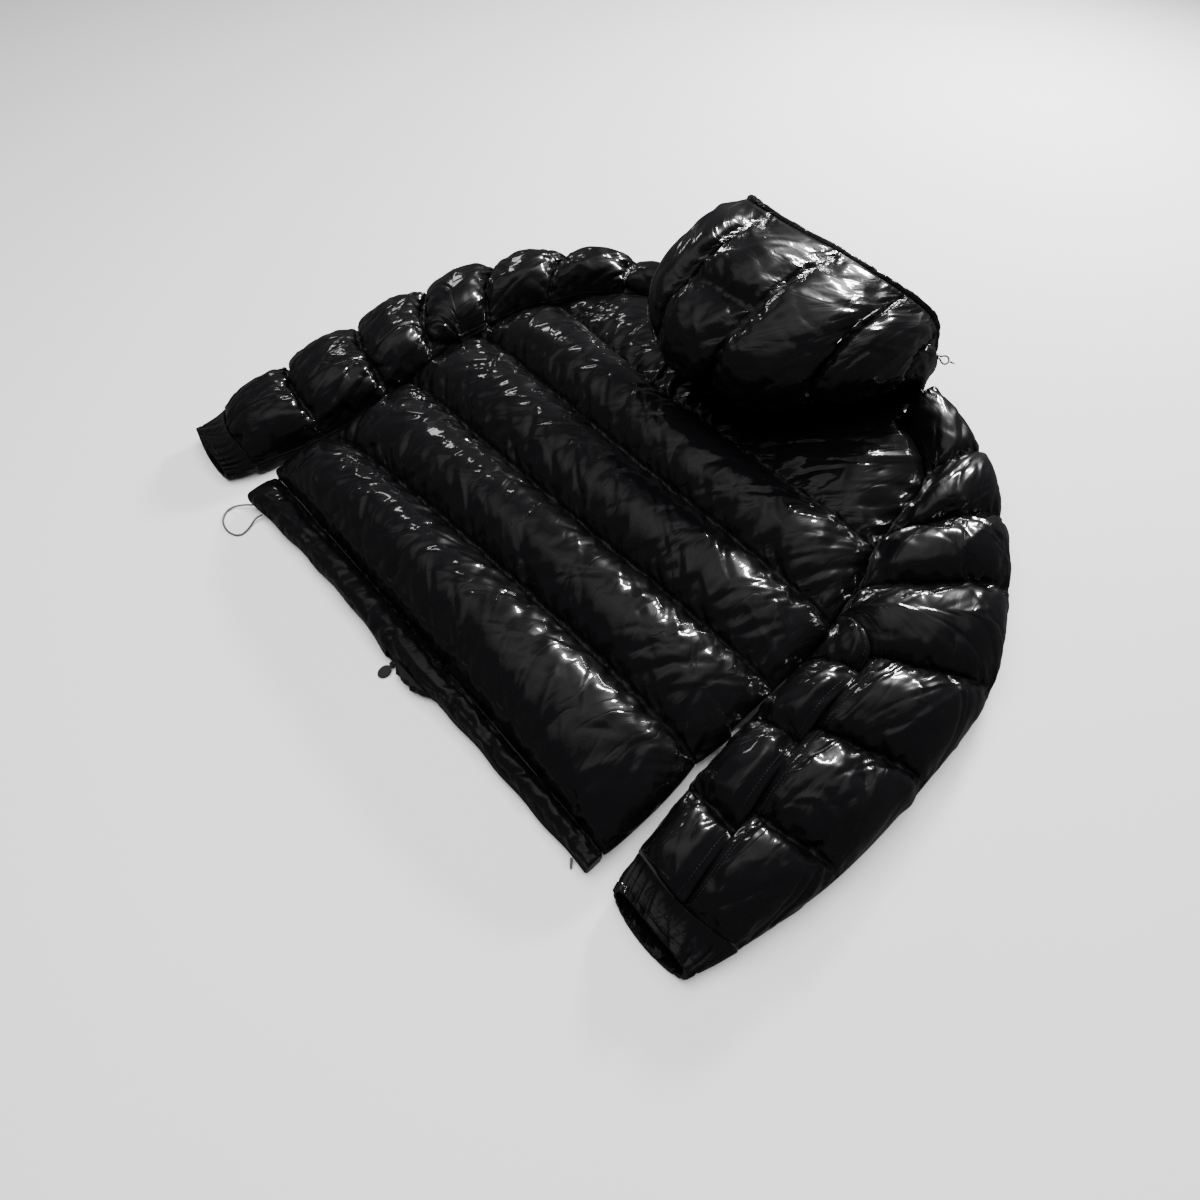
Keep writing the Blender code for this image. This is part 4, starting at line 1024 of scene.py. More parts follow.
    @staticmethod
    def press(styles: Sequence[Folds], away: Grid, beside: Grid, sink: Grid,
              rng: np.random.Generator) -> None:
        """Adds folds that start at one side of a sewn line, to the depths in sink.

        Args:
            styles: the kinds of fold.
            away: how far each point lies from the line, above 0 on the folds' side.
            beside: how far each point lies along the line.
            sink: the depths so far, which are changed.
            rng: the cut's random numbers.
        """
        ahead = np.maximum(away, 0.0)
        for style in styles:
            count = max(1, int(beside.max() / style.spacing))
            at = rng.uniform(0.0, beside.max(), count)
            width, length = rng.uniform(*style.width, count), rng.uniform(*style.length, count)
            depth = rng.uniform(*style.depth, count) * rng.choice((1.0, 0.7, -0.5), count)
            slant = rng.uniform(-style.slant, style.slant, count)
            for i in range(count):
                off = np.abs(beside - at[i] - slant[i] * ahead)
                fade = np.exp(-(ahead / length[i]) ** 2) * np.clip(0.4 + ahead / FOLD_START, 0, 1)
                sink += depth[i] * np.where(away < 0, 0.0, fade) * ridge(off, width[i])

    @staticmethod
    def scatter(style: Folds, run: Grid, along: Grid, sink: Grid,
                rng: np.random.Generator) -> None:
        """Adds folds anywhere on the cloth, to the depths in sink.

        Args:
            style: the folds' sizes.
            run: how far each point lies across the channels.
            along: how far each point lies along them.
            sink: the depths so far, which are changed.
            rng: the cut's random numbers.
        """
        count = max(1, int(run[-1].mean() * along[:, -1].mean() / style.spacing**2))
        at_run, at_along = rng.uniform(0, run[-1].max(), count), rng.uniform(
            0, along[:, -1].max(), count)
        width, length = rng.uniform(*style.width, count), rng.uniform(*style.length, count)
        depth = rng.uniform(*style.depth, count) * rng.choice((1.0, -0.7), count)
        slant = rng.uniform(-style.slant, style.slant, count)
        for i in range(count):
            away = run - at_run[i]
            if not (np.abs(away) < 2.5 * length[i]).any():
                continue
            off = np.abs(along - at_along[i] - slant[i] * away)
            sink += depth[i] * np.exp(-(away / length[i]) ** 2) * ridge(off, width[i])

    @staticmethod
    def grid_faces(rows: int, columns: int, flip: bool) -> np.ndarray:
        """Corner numbers of a grid's faces."""
        index = np.arange(rows * columns).reshape(rows, columns)
        corners = [index[:-1, :-1], index[:-1, 1:], index[1:, 1:], index[1:, :-1]]
        return np.stack(corners[::-1] if flip else corners, -1).reshape(-1, 4)

    @classmethod
    def grid_object(cls, name: str, points: Grid, flip: bool) -> bpy.types.Object:
        """Makes an open grid of faces as an object, in the pattern's own place."""
        mesh = bpy.data.meshes.new(name)
        faces = cls.grid_faces(*points.shape[:2], flip)
        mesh.from_pydata(points.reshape(-1, 3).tolist(), [], faces.tolist())
        return link(name, mesh)

    def close(self, cut: Cut, points: Grid, inner: Grid | None) -> bpy.types.Object:
        """Makes the closed mesh of a piece from its outer cloth and its inner side.

        Args:
            cut: the cut.
            points: its outer cloth.
            inner: its inner wall, or None for a flat base.

        Returns:
            The piece, smooth, with its lay as a UV map and its near_seam attribute.
        """
        rows, columns = points.shape[:2]
        index = np.arange(rows * columns).reshape(rows, columns)
        border = np.concatenate((index[0, :-1], index[:-1, -1], index[-1, :0:-1], index[:0:-1, 0]))
        flat = points.reshape(-1, 3)
        faces = self.grid_faces(rows, columns, False).tolist()
        if inner is None:
            partner = flat[border].copy()
            partner[:, 2] = cut.base
            start = len(flat)
            ring = start + np.arange(len(border))
            faces.append(ring[::-1].tolist())
            extra, extra_source = partner, border
        else:
            start = len(flat)
            faces += (self.grid_faces(rows, columns, True) + start).tolist()
            ring = start + border
            extra, extra_source = inner.reshape(-1, 3), index.ravel()
        after, ring_after = np.roll(border, -1), np.roll(ring, -1)
        faces += np.stack((border, ring, ring_after, after), -1).tolist()
        mesh = closed_mesh(cut.node, np.concatenate((flat, extra)), faces)

        along, across = run_lengths(points, 1).ravel(), run_lengths(points, 0).ravel()
        lay = np.stack((along, across), -1)
        away = cut.from_line(points).ravel()
        near = np.exp(-(away / GATHER_REACH) ** 1.5)
        lay_uv(mesh, np.concatenate((lay, lay[extra_source])),
               np.concatenate((near, near[extra_source] * 0.5)))
        mesh.shade_smooth()
        return link(f"{cut.node}_cloth", mesh)


# ---------------------------------------------------------------- the body

@dataclass
class Body:
    """The back, the two fronts under it and the hem band."""

    spacing: float = 0.0046
    front_spacing: float = 0.0070
    slack_width: float = 0.68
    front_width: float = 0.34
    front_wall: float = 0.012
    groove: float = 0.006
    hem_spacing: float = 0.0036
    hem_thick: float = 0.0135
    hem_rows: int = 15

    def back(self) -> Cut:
        """The back: four wide channels and the yoke."""
        middles = column(BACK_LINES, "middle")
        cloth = [1.28 * (high - low) for low, high in zip(middles, middles[1:])]
        places, lines = channel_rows(cloth, self.spacing)
        u = np.linspace(0.0, 1.0, 600)[None, :]
        number = places[:, None]
        channel = np.minimum(number.astype(int), len(cloth) - 1)
        f = number - channel
        left = Pattern.body_edge(Side.LEFT, Pattern.line_y(number, 0.0))
        right = Pattern.body_edge(Side.RIGHT, Pattern.line_y(number, 1.0))
        y = Pattern.line_y(number, u) + 2 * SEAM_GAP
        ends = (number == 0) | (number == len(cloth))
        full = 3.2 + 4.0 * (u > 0.5) * np.clip(number - 4.2, 0.0, 0.6) / 0.6
        shallow = np.where(number > 1, mix(0.35, 1.0, np.clip((u - 0.80) / 0.10, 0, 1)), 0.10)
        bed = BACK_VALLEY * plateau(u, full) * np.where(ends, shallow, 1.0)
        rise = np.where(channel == len(cloth) - 1, YOKE_CROWN, BACK_CROWN)
        height = LAYER + EDGE + bed + rise * crown(f) * plateau(u, np.where(u < 0.5, 5.0, 3.2))
        x = mix(left, right, u) + np.where(
            y < ARMPIT_Y - 0.02, 0.005 * crown(f) * (2 * u - 1) ** 9, 0.0)
        dense = np.stack(np.broadcast_arrays(x, y, height), -1)
        points, _ = even_columns(dense, round(self.slack_width / self.spacing))
        return Cut("back_panel", points, lines, (0.0, 0.3, LAYER), base=LAYER + SEAM_GAP,
                   low=LAYER + 0.001)

    @staticmethod
    def neck_line(side: Side, x: Grid) -> Grid:
        """y of the front neckline at x, from the zip to the shoulder."""
        angle = np.radians(np.linspace(88.0, HOOD_FRONT_ANGLE + 3.0, 30))
        turned = angle if side is Side.RIGHT else 2 * math.pi - angle
        ring = Pattern.hood(0.0, turned, 0.0)
        away = mix(*NECK_CLEARANCE, np.sin(angle) ** 4)
        xs = np.abs(ring[:, 0] + side.value * away)
        ys = ring[:, 1] - 0.6 * away
        top_x, top_y = Pattern.sleeve_end(side, "inner", np.array([0.0]))
        xs = np.concatenate((xs[::-1], np.abs(top_x) - ARMHOLE_GAP))
        ys = np.concatenate((ys[::-1], top_y - ARMHOLE_GAP))
        return np.interp(np.abs(x), xs, ys)

    def front(self, side: Side) -> Cut:
        """One front: the lower layer from the zip to the side seam, flat where it rests."""
        middles = column(BACK_LINES, "middle")
        cloth = [high - low for low, high in zip(middles, middles[1:])]
        places, lines = channel_rows(cloth, self.front_spacing)
        number = places[:, None]
        share = np.linspace(0.0, 1.0, 400)[None, :]
        last = len(BACK_LINES) - 1
        u_edge = 0.0 if side is Side.LEFT else 1.0
        edge_top = float(Pattern.sleeve_end(side, "inner", np.array([0.0]))[1][0]) - ARMHOLE_GAP
        edge_line = Pattern.line_y(last - 1.0, u_edge)
        edge_y = np.where(number < last - 1, Pattern.line_y(number, u_edge),
                          mix(edge_line, edge_top, number - (last - 1)))
        edge_x = Pattern.body_edge(side, edge_y)
        x = mix(side.value * ZIP_HALF, edge_x, share)
        u = 0.5 + 0.5 * (x / np.abs(edge_x))
        top = self.neck_line(side, x)
        upper_line = Pattern.line_y(last - 1.0, u)
        y = np.where(number < last - 1, Pattern.line_y(number, u),
                     mix(upper_line, top, number - (last - 1))) + 2 * SEAM_GAP
        f = number % 1.0
        wall = np.where(edge_y < ARMPIT_Y, self.front_wall, 0.002)
        inside = (shoulder(np.abs(edge_x - x), wall) * shoulder(np.abs(x) - ZIP_HALF, 0.002)
                  * shoulder(number * 0.1, 0.004) * shoulder((last - number) * 0.1, 0.004))
        groove = self.groove * (1 - crown(f)) ** 2
        height = LAYER - (LAYER - groove) * inside
        draw = np.where(edge_y < ARMPIT_Y, 0.004 * (1 - crown(f)), 0.0)
        x = x - side.value * draw * share**6
        dense = np.stack(np.broadcast_arrays(x, y, height), -1)
        points, _ = even_columns(dense, round(self.front_width / self.front_spacing))
        return Cut(f"front_{side.word}", points, lines, (side.value * 0.15, 0.3, LAYER),
                   base=LAYER, low=0.0, high=LAYER,
                   filling=Filling(frames=14, reach=0.006, bending=0.1))

    def hem_back(self) -> Cut:
        """The back's hem band, from its seam over the elastic to its free edge."""
        x = np.linspace(-HEM_HALF, HEM_HALF, round(2.08 * HEM_HALF / self.hem_spacing))[None, :]
        seam = Pattern.line_y(0.0, 0.5 + 0.5 * x / HEM_HALF)
        edge = Pattern.hem_edge(x, "back")
        low = Pattern.hem_plane(x) + SEAM_GAP
        t = np.linspace(0.0, 1.0, 60)[:, None]
        turn = np.pi * t
        y = mix(seam, edge + 0.0005, 0.5 - 0.5 * np.cos(turn) * np.abs(np.cos(turn)) ** -0.45)
        seam_rise = 0.0115 * np.clip(1.0 - t / 0.12, 0.0, 1.0) ** 2
        z = low + np.maximum(
            seam_rise, self.hem_thick * np.sin(turn) ** 0.5 * mix(0.95, 1.0, t))
        for middle, deep in ((0.36, 0.0030), (0.62, 0.0022)):
            tuck = middle + 0.05 * np.sin(x * 41.0 + 9.0 * middle)
            z = z - deep * np.exp(-((t - tuck) / 0.055) ** 2) * (0.6 + 0.4 * np.sin(x * 23.0))
        dense = np.stack(np.broadcast_arrays(x, y, z), -1)
        rows, _ = even_columns(np.swapaxes(dense, 0, 1), self.hem_rows)
        return Cut("hem_back", np.swapaxes(rows, 0, 1), [0, self.hem_rows - 1], (0.0, 0.015, 0.018),
                   base=float(np.min(low)) - 0.0005,
                   filling=Filling(pressure=1.2, slack_seam=0.06, slack_middle=0.04,
                                   frames=16, reach=0.004, bending=0.03),
                   folds=(RIBS,), valley=0.0)


# ---------------------------------------------------------------- the sleeves

@dataclass
class Sleeve:
    """One sleeve: its upper side, the under sleeve, the fore sleeve and the cuff."""

    side: Side
    spacing: float = 0.0042
    fore_spacing: float = 0.0062
    width: float = 0.19
    wall: float = 0.013
    groove: float = 0.006
    under_columns: int = 18
    cuff_wall: float = 0.0038
    pleat_depth: float = 0.0030

    @property
    def last(self) -> int:
        """Number of the cuff seam's station."""
        return len(self.side.stations) - 1

    def widths(self, places: Sequence[float]) -> list[float]:
        """How much cloth there is across each channel between whole places."""
        middle = [np.array(Pattern.sleeve_plan(self.side, np.array([float(p)]), 0.6))[:, 0]
                  for p in places]
        return [1.3 * float(np.linalg.norm(b - a)) for a, b in zip(middle, middle[1:])]

    def grid(self, places: Grid, first: Grid, end: Grid, seam_share: Callable[[Grid, Grid], Grid],
             shift: float, count: int) -> Grid:
        """Points of an upper piece between two shares of the sleeve's width."""
        share = np.linspace(0.0, 1.0, 300)[None, :]
        place = places[:, None]
        u = mix(first[:, None], end[:, None], share)
        x, y = Pattern.sleeve_plan(self.side, place, u)
        rise = Pattern.sleeve_rise(self.side, place, u, shift) * seam_share(place, share)
        dense = np.stack(np.broadcast_arrays(x, y, LAYER + EDGE + rise), -1)
        return even_columns(dense, count)[0]

    def upper(self) -> Cut:
        """The upper sleeve, from the head under the hood to the cuff seam."""
        places, lines = channel_rows(self.widths(range(self.last + 1)), self.spacing)
        start = Pattern.elbow_share(self.side, places)
        first = start + np.where(start > 0, ELBOW_GAP, 0.0)

        def height(place: Grid, share: Grid) -> Grid:
            seamed = Pattern.elbow_share(self.side, place) > 0
            return np.where(seamed, mix(ELBOW_RISE[self.side.word], 1.0,
                                        np.minimum(1.0, share / 0.18)), 1.0)

        points = self.grid(places, first, np.ones_like(first), height, 0.0,
                           round(self.width / self.spacing))
        crossing = np.interp(places, *zip(*OUTER_SEAM), left=math.nan, right=math.nan)
        return Cut(f"sleeve_{self.side.word}_back", points, lines,
                   (self.side.value * 0.36, 0.3, LAYER), base=LAYER + SEAM_GAP,
                   low=LAYER + 0.001, crossing=crossing, edge_stitches=(5, 8))

    def under(self) -> Cut:
        """The under sleeve, between the elbow seam and the inner edge."""
        start = ELBOW[0] + 0.04
        shift = UNDER_SHIFT[self.side.word]
        stops = [start] + [n - shift for n in range(4, self.last)] + [float(self.last)]
        places, lines = channel_rows(self.widths(stops), self.spacing)
        places = np.interp(places, np.arange(len(stops)), stops)
        end = Pattern.elbow_share(self.side, places) - ELBOW_GAP

        def height(place: Grid, share: Grid) -> Grid:
            rise = ELBOW_RISE[self.side.word]
            return mix(rise, 1.0, np.minimum(1.0, (1 - share) / 0.3)) + 0 * place

        points = self.grid(places, np.zeros_like(end), end, height, shift,
                           self.under_columns)
        return Cut(f"sleeve_{self.side.word}_under", points, lines,
                   (self.side.value * 0.34, 0.15, LAYER), base=LAYER + SEAM_GAP,
                   low=LAYER + 0.001, edge_stitches=(-4,))

    def fore(self) -> Cut:
        """The fore sleeve: the lower layer, flat where it rests."""
        places, lines = channel_rows(self.widths(range(self.last + 1)), self.fore_spacing)
        place = places[:, None]
        u = np.linspace(0.0, 1.0, 400)[None, :]
        x, y = Pattern.sleeve_plan(self.side, place, u)
        inner = np.stack(Pattern.sleeve_end(self.side, "inner", place), -1)
        outer = np.stack(Pattern.sleeve_end(self.side, "outer", place), -1)
        width = np.linalg.norm(outer - inner, axis=-1)
        f = place % 1.0
        free_inner = inner[..., 1] < ARMPIT_Y
        inner_wall = np.where(free_inner, 0.010, 0.002)
        outer_wall = np.where(place > 0.5, self.wall, 0.003)
        ends = shoulder(place * 0.1, 0.004) * shoulder((self.last - place) * 0.1, 0.004)
        inside = shoulder(u * width, inner_wall) * shoulder((1 - u) * width, outer_wall) * ends
        groove = self.groove * (1 - crown(f)) ** 2
        height = LAYER - (LAYER - groove) * inside
        back = (inner - outer) / width[..., None]
        draw = 0.005 * (1 - crown(f)) * np.where(place > 0.3, 1.0, 0.0) * u**8
        dense = np.stack(np.broadcast_arrays(
            x + back[..., 0] * draw, y + back[..., 1] * draw, height), -1)
        points, _ = even_columns(dense, round(self.width / self.fore_spacing))
        return Cut(f"sleeve_{self.side.word}_front", points, lines,
                   (self.side.value * 0.36, 0.3, LAYER), base=LAYER, low=0.0, high=LAYER,
                   filling=Filling(frames=14, reach=0.006, bending=0.08))

    def cuff(self) -> Grid:
        """Outer and inner rings of the gathered cuff, from the cuff seam to its mouth."""
        size = CUFFS[self.side]
        rows, columns = 40, 288
        mouth_inner, mouth_outer = np.array(size.mouth_inner), np.array(size.mouth_outer)
        half_width = np.linalg.norm(mouth_outer - mouth_inner) / 2
        seam_middle = np.array(Pattern.sleeve_plan(self.side, np.array(float(self.last)), 0.5))
        along = (mouth_inner + mouth_outer) / 2 - seam_middle
        along /= np.linalg.norm(along)
        t = np.linspace(0.0, 1.0, rows)[:, None]
        angle = np.linspace(0.0, 2 * math.pi, columns, endpoint=False)[None, :]
        c, s = np.cos(angle), np.sin(angle)
        height = mix(size.seam_height, size.mouth_height, t) * (1 - 0.10 * np.sin(np.pi * t))
        turned = angle + 0.34 * t * (1 + 0.5 * np.sin(2 * angle))
        pleat = np.abs(np.sin(10 * turned + 1.1 * np.sin(3 * angle))) ** 0.6
        gather = self.pleat_depth * (pleat - 0.55) * np.minimum(1.0, 0.25 + 1.5 * t)
        gather = gather + 0.0005 * np.sin(27 * turned) * np.sin(np.pi * t)
        band = 0.0009 * np.exp(-((t - 0.80) / 0.035) ** 2)
        walls = []
        for inset in (-(gather - band), self.cuff_wall + 0.4 * gather):
            u = 0.5 + 0.5 * (1 - inset / half_width) * np.sign(c) * np.abs(c) ** 0.8
            seam = np.stack(Pattern.sleeve_plan(self.side, float(self.last) + 0 * u, u), -1)
            seam = seam + along * 2 * SEAM_GAP
            mouth = mouth_inner + (mouth_outer - mouth_inner) * u[..., None]
            out = size.lip * (0.5 - 0.5 * s) + size.bow * np.sin(np.pi * u)
            mouth = mouth + along * out[..., None]
            plan = seam + (mouth - seam) * t[..., None]
            z = height / 2 + (height / 2 - inset) * np.sign(s) * np.abs(s) ** 0.85
            walls.append(np.concatenate((plan, np.maximum(z, 0.0)[..., None]), -1))
        return np.stack(walls)


# ---------------------------------------------------------------- the hood

@dataclass
class Hood:
    """The hood: two sides and the centre, each over its own inner wall."""

    spacing: float = 0.0048
    crowns: float = HOOD_CROWN

    def piece(self, node: str, angles: Sequence[float], cross: bool = False) -> Cut:
        """One cut of the hood.

        Args:
            node: the node that it stands for.
            angles: its edges and sewn lines, as angles round the hood in degrees.
            cross: whether a sewn line also crosses its last channel.

        Returns:
            The cut, with its channels running from the neck seam to the rim.
        """
        last = len(HOOD_RINGS) - 1
        place = np.linspace(0.0, last, HOOD_COLUMNS)[None, :]
        rows, lines = [], []
        for low, high in zip(angles, angles[1:]):
            middle_ring = Pattern.hood(4.0, np.radians(np.linspace(low, high, 30)), 0.0)
            width = np.linalg.norm(np.diff(middle_ring, axis=0), axis=1).sum() * 1.1
            count = max(4, round(width / self.spacing))
            lines.append(len(rows))
            rows += [(low, high, k / count) for k in range(count)]
        lines.append(len(rows))
        rows.append((angles[-2], angles[-1], 1.0))
        low, high, f = (np.array(values)[:, None] for values in zip(*rows))
        angle = np.radians(self.even_angles(low, high, f, last))
        shell = Pattern.hood(place, angle, 0.0)
        inner = Pattern.hood(place, angle, HOOD_WALL)
        rise = crown(f) ** 0.8 + 0 * place
        if cross:
            off = (place - HOOD_CROSS_RING) / HOOD_CROSS_WIDTH
            lined = np.exp(-off ** 2) * (low == angles[-2])
            rise = rise * (1 - lined)
        ends = np.clip(np.minimum(place / 0.8, (last - place) / 0.5), 0.0, 1.0)
        outwards = shell - inner
        outwards /= np.linalg.norm(outwards, axis=-1, keepdims=True)
        points = shell + outwards * (self.crowns * rise * ends)[..., None]
        turn = np.degrees(angle) % 360.0
        behind = (np.minimum(turn, 360.0 - turn) > 60.0) & (place > 0)
        resting = Pattern.yoke_height(points[..., 0], points[..., 1]) + YOKE_CLEARANCE
        lift = np.where(behind, np.maximum(
            0.0, resting - np.minimum(points[..., 2], inner[..., 2])), 0.0)
        points[..., 2] = np.maximum(points[..., 2] + lift, 0.0)
        inner[..., 2] += lift
        marks = []
        if cross:
            near = int(np.argmin(np.abs(place[0] - HOOD_CROSS_RING)))
            marks.append((slice(lines[-2], lines[-1]), slice(near, near + 1)))
        return Cut(node, points, lines, (0.0, 0.60, 0.10), inner=inner, sewn_marks=marks,
                   low=0.0, valley=0.0034, folds=(PUCKERS, CREASES, DRAWN),
                   filling=Filling(pressure=2.5, reach=0.006, slack_seam=0.05, slack_middle=0.0))

    @staticmethod
    def even_angles(low: Grid, high: Grid, f: Grid, last: int) -> Grid:
        """Angles between two sewn lines that space the cloth evenly at every ring."""
        fractions = np.linspace(0.0, 1.0, 40)
        places = np.linspace(0.0, last, HOOD_COLUMNS)
        result = np.empty((len(f), len(places)))
        for key in {(float(a), float(b)) for a, b in zip(low[:, 0], high[:, 0])}:
            chosen = (low[:, 0] == key[0]) & (high[:, 0] == key[1])
            degrees = mix(key[0], key[1], fractions)
            ring = Pattern.hood(places[None, :], np.radians(degrees)[:, None], 0.0)
            run = run_lengths(ring, 0)
            for j in range(len(places)):
                wanted = f[chosen, 0] * run[-1, j]
                result[chosen, j] = np.interp(wanted, run[:, j], degrees)
        return result

    def rim(self) -> Grid:
        """Rings round the rim casing, gathered on its cord."""
        count, around = 300, 16
        share = np.linspace(0.0, 1.0, count)
        angle = np.radians(mix(HOOD_FRONT_ANGLE, 360.0 - HOOD_FRONT_ANGLE, share))
        middle = Pattern.rim_middle(angle)
        tangent = np.gradient(middle, axis=0)
        tangent /= np.linalg.norm(tangent, axis=1, keepdims=True)
        across = np.cross(tangent, (0.0, 1.0, 0.0))
        across /= np.linalg.norm(across, axis=1, keepdims=True)
        over = np.cross(tangent, across)
        turn = np.linspace(0.0, 2 * math.pi, around, endpoint=False)
        run = run_lengths(middle[None], 1)[0]
        pucker = 0.10 * np.sin(run / 0.0042 + 2.5 * np.sin(run * 60.0)) + 0.05 * np.sin(
            run / 0.0019 + 3.0 * np.sin(run * 110.0))
        radius = RIM_RADIUS * (0.97 + pucker)[:, None, None]
        points = middle[:, None] + radius * (
            across[:, None] * np.cos(turn)[None, :, None]
            + over[:, None] * np.sin(turn)[None, :, None])
        points[..., 2] = np.maximum(points[..., 2], 0.0)
        return points


# ---------------------------------------------------------------- plain meshes

class Bench:
    """Makes plain pieces from points and faces, and tubes from rings."""

    @staticmethod
    def add(name: str, points: np.ndarray, faces: Sequence[Sequence[int]],
            material: bpy.types.Material) -> bpy.types.Object:
        """Makes an object in the frame's place, smooth, with its normals pointing out."""
        mesh = closed_mesh(name, points, [list(map(int, face)) for face in faces])
        mesh.shade_smooth()
        mesh.materials.append(material)
        return link(name, mesh)

    @staticmethod
    def tube_faces(rings: int, around: int, capped: bool) -> list[list[int]]:
        """Faces of a tube of rings, with its two ends filled if capped."""
        index = np.arange(rings * around).reshape(rings, around)
        after = np.roll(index, -1, axis=1)
        faces = np.stack((index[:-1], after[:-1], after[1:], index[1:]), -1).reshape(-1, 4).tolist()
        if capped:
            faces += [index[0].tolist(), index[-1].tolist()]
        return faces

    @classmethod
    def tube(cls, name: str, rings: Grid, material: bpy.types.Material) -> bpy.types.Object:
        """A closed tube from its rings."""
        return cls.add(name, rings.reshape(-1, 3), cls.tube_faces(*rings.shape[:2], True),
                       material)

    @staticmethod
    def lay(piece: bpy.types.Object, along: Grid, across: Grid, near: float) -> None:
        """Gives a piece its lay, equally near to a sewn line all over."""
        lay_uv(piece.data, np.stack((along.ravel(), across.ravel()), -1),
               np.full(len(piece.data.vertices), near))


@dataclass(frozen=True)
class Stitching:
    """Lockstitches along a sewn line: pitch, length and thickness of each."""

    pitch: float = 0.0036
    length: float = 0.0026
    thick: float = 0.00034
    proud: float = 0.00022

    def along(self, line: Grid, normal: Grid) -> tuple[Grid, list[list[int]]]:
        """Points and faces of the stitches along a line of points.

        Args:
            line: points along the seam.
            normal: the cloth's normals there.

        Returns:
            The stitches' points and faces.
        """
        run = run_lengths(line[None], 1)[0]
        centres = np.arange(0.6 * self.pitch, run[-1], self.pitch)
        points, faces = [], []
        steps = ((-0.5, 0.0, 0.25), (-0.25, 0.8, 0.9), (0.25, 0.8, 0.9), (0.5, 0.0, 0.25))
        for centre in centres:
            at = [np.array([np.interp(centre + s[0] * self.length, run, line[:, k])
                            for k in range(3)]) for s in steps]
            up = np.array([np.interp(centre, run, normal[:, k]) for k in range(3)])
            up /= max(np.linalg.norm(up), 1e-9)
            forward = at[-1] - at[0]
            size = np.linalg.norm(forward)
            if size < 0.5 * self.length:
                continue
            beside = np.cross(forward / size, up)
            first = len(points)
            for (_, lift, thick), spot in zip(steps, at):
                spot = spot + up * self.proud * lift
                for a, b in ((1, 0), (0, 1), (-1, 0), (0, -1)):
                    points.append(spot + (beside * a + up * b) * self.thick * thick)
            for ring in range(3):
                for k in range(4):
                    a, b = first + 4 * ring + k, first + 4 * ring + (k + 1) % 4
                    faces.append([a, b, b + 4, a + 4])
            faces.append([first + k for k in range(4)])
            faces.append([first + 12 + k for k in range(4)])
        return np.array(points), faces


class Seamstress:
    """Adds the stitches that show along the sewn lines."""

    def __init__(self, tailor: Tailor, style: Stitching) -> None:
        """Keeps the finished surfaces and the kind of stitch."""
        self.tailor = tailor
        self.style = style

    def stitch(self, name: str, lines: Sequence[tuple[Grid, Grid]]) -> bpy.types.Object:
        """Joins the stitches of some lines in one piece.

        Args:
            name: the new piece's name.
            lines: the points and normals of each line.

        Returns:
            The piece, which rides on the jacket.
        """
        all_points, all_faces, start = [], [], 0
        for line, normal in lines:
            points, faces = self.style.along(line, normal)
            all_points.append(points)
            all_faces += [[k + start for k in face] for face in faces]
            start += len(points)
        piece = Bench.add(name, np.concatenate(all_points), all_faces,
                          self.tailor.wardrobe.thread)
        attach(piece, JACKET)
        log.info("%s: %d stitches", name, start // 16)
        return piece

    def lines_of(self, cut: Cut) -> list[tuple[Grid, Grid]]:
        """Points and normals along every sewn line of a finished cut."""
        points = self.tailor.surfaces[cut.node]
        normal, _ = cut.outwards(points)
        lines = [(points[row], normal[row]) for row in cut.lines[1:-1]]
        lines += [(points[:, column], normal[:, column]) for column in cut.edge_stitches]
        lines += [(points[rows, columns.start], normal[rows, columns.start])
                  for rows, columns in cut.sewn_marks]
        if cut.crossing is not None:
            rows = np.flatnonzero(~np.isnan(cut.crossing))
            place = cut.crossing[rows] * (points.shape[1] - 1)
            column = np.minimum(place.astype(int), points.shape[1] - 2)
            share = (place - column)[:, None]
            lines.append(tuple(mix(grid[rows, column], grid[rows, column + 1], share)
                               for grid in (points, normal)))
        return lines


# ---------------------------------------------------------------- cords and hardware

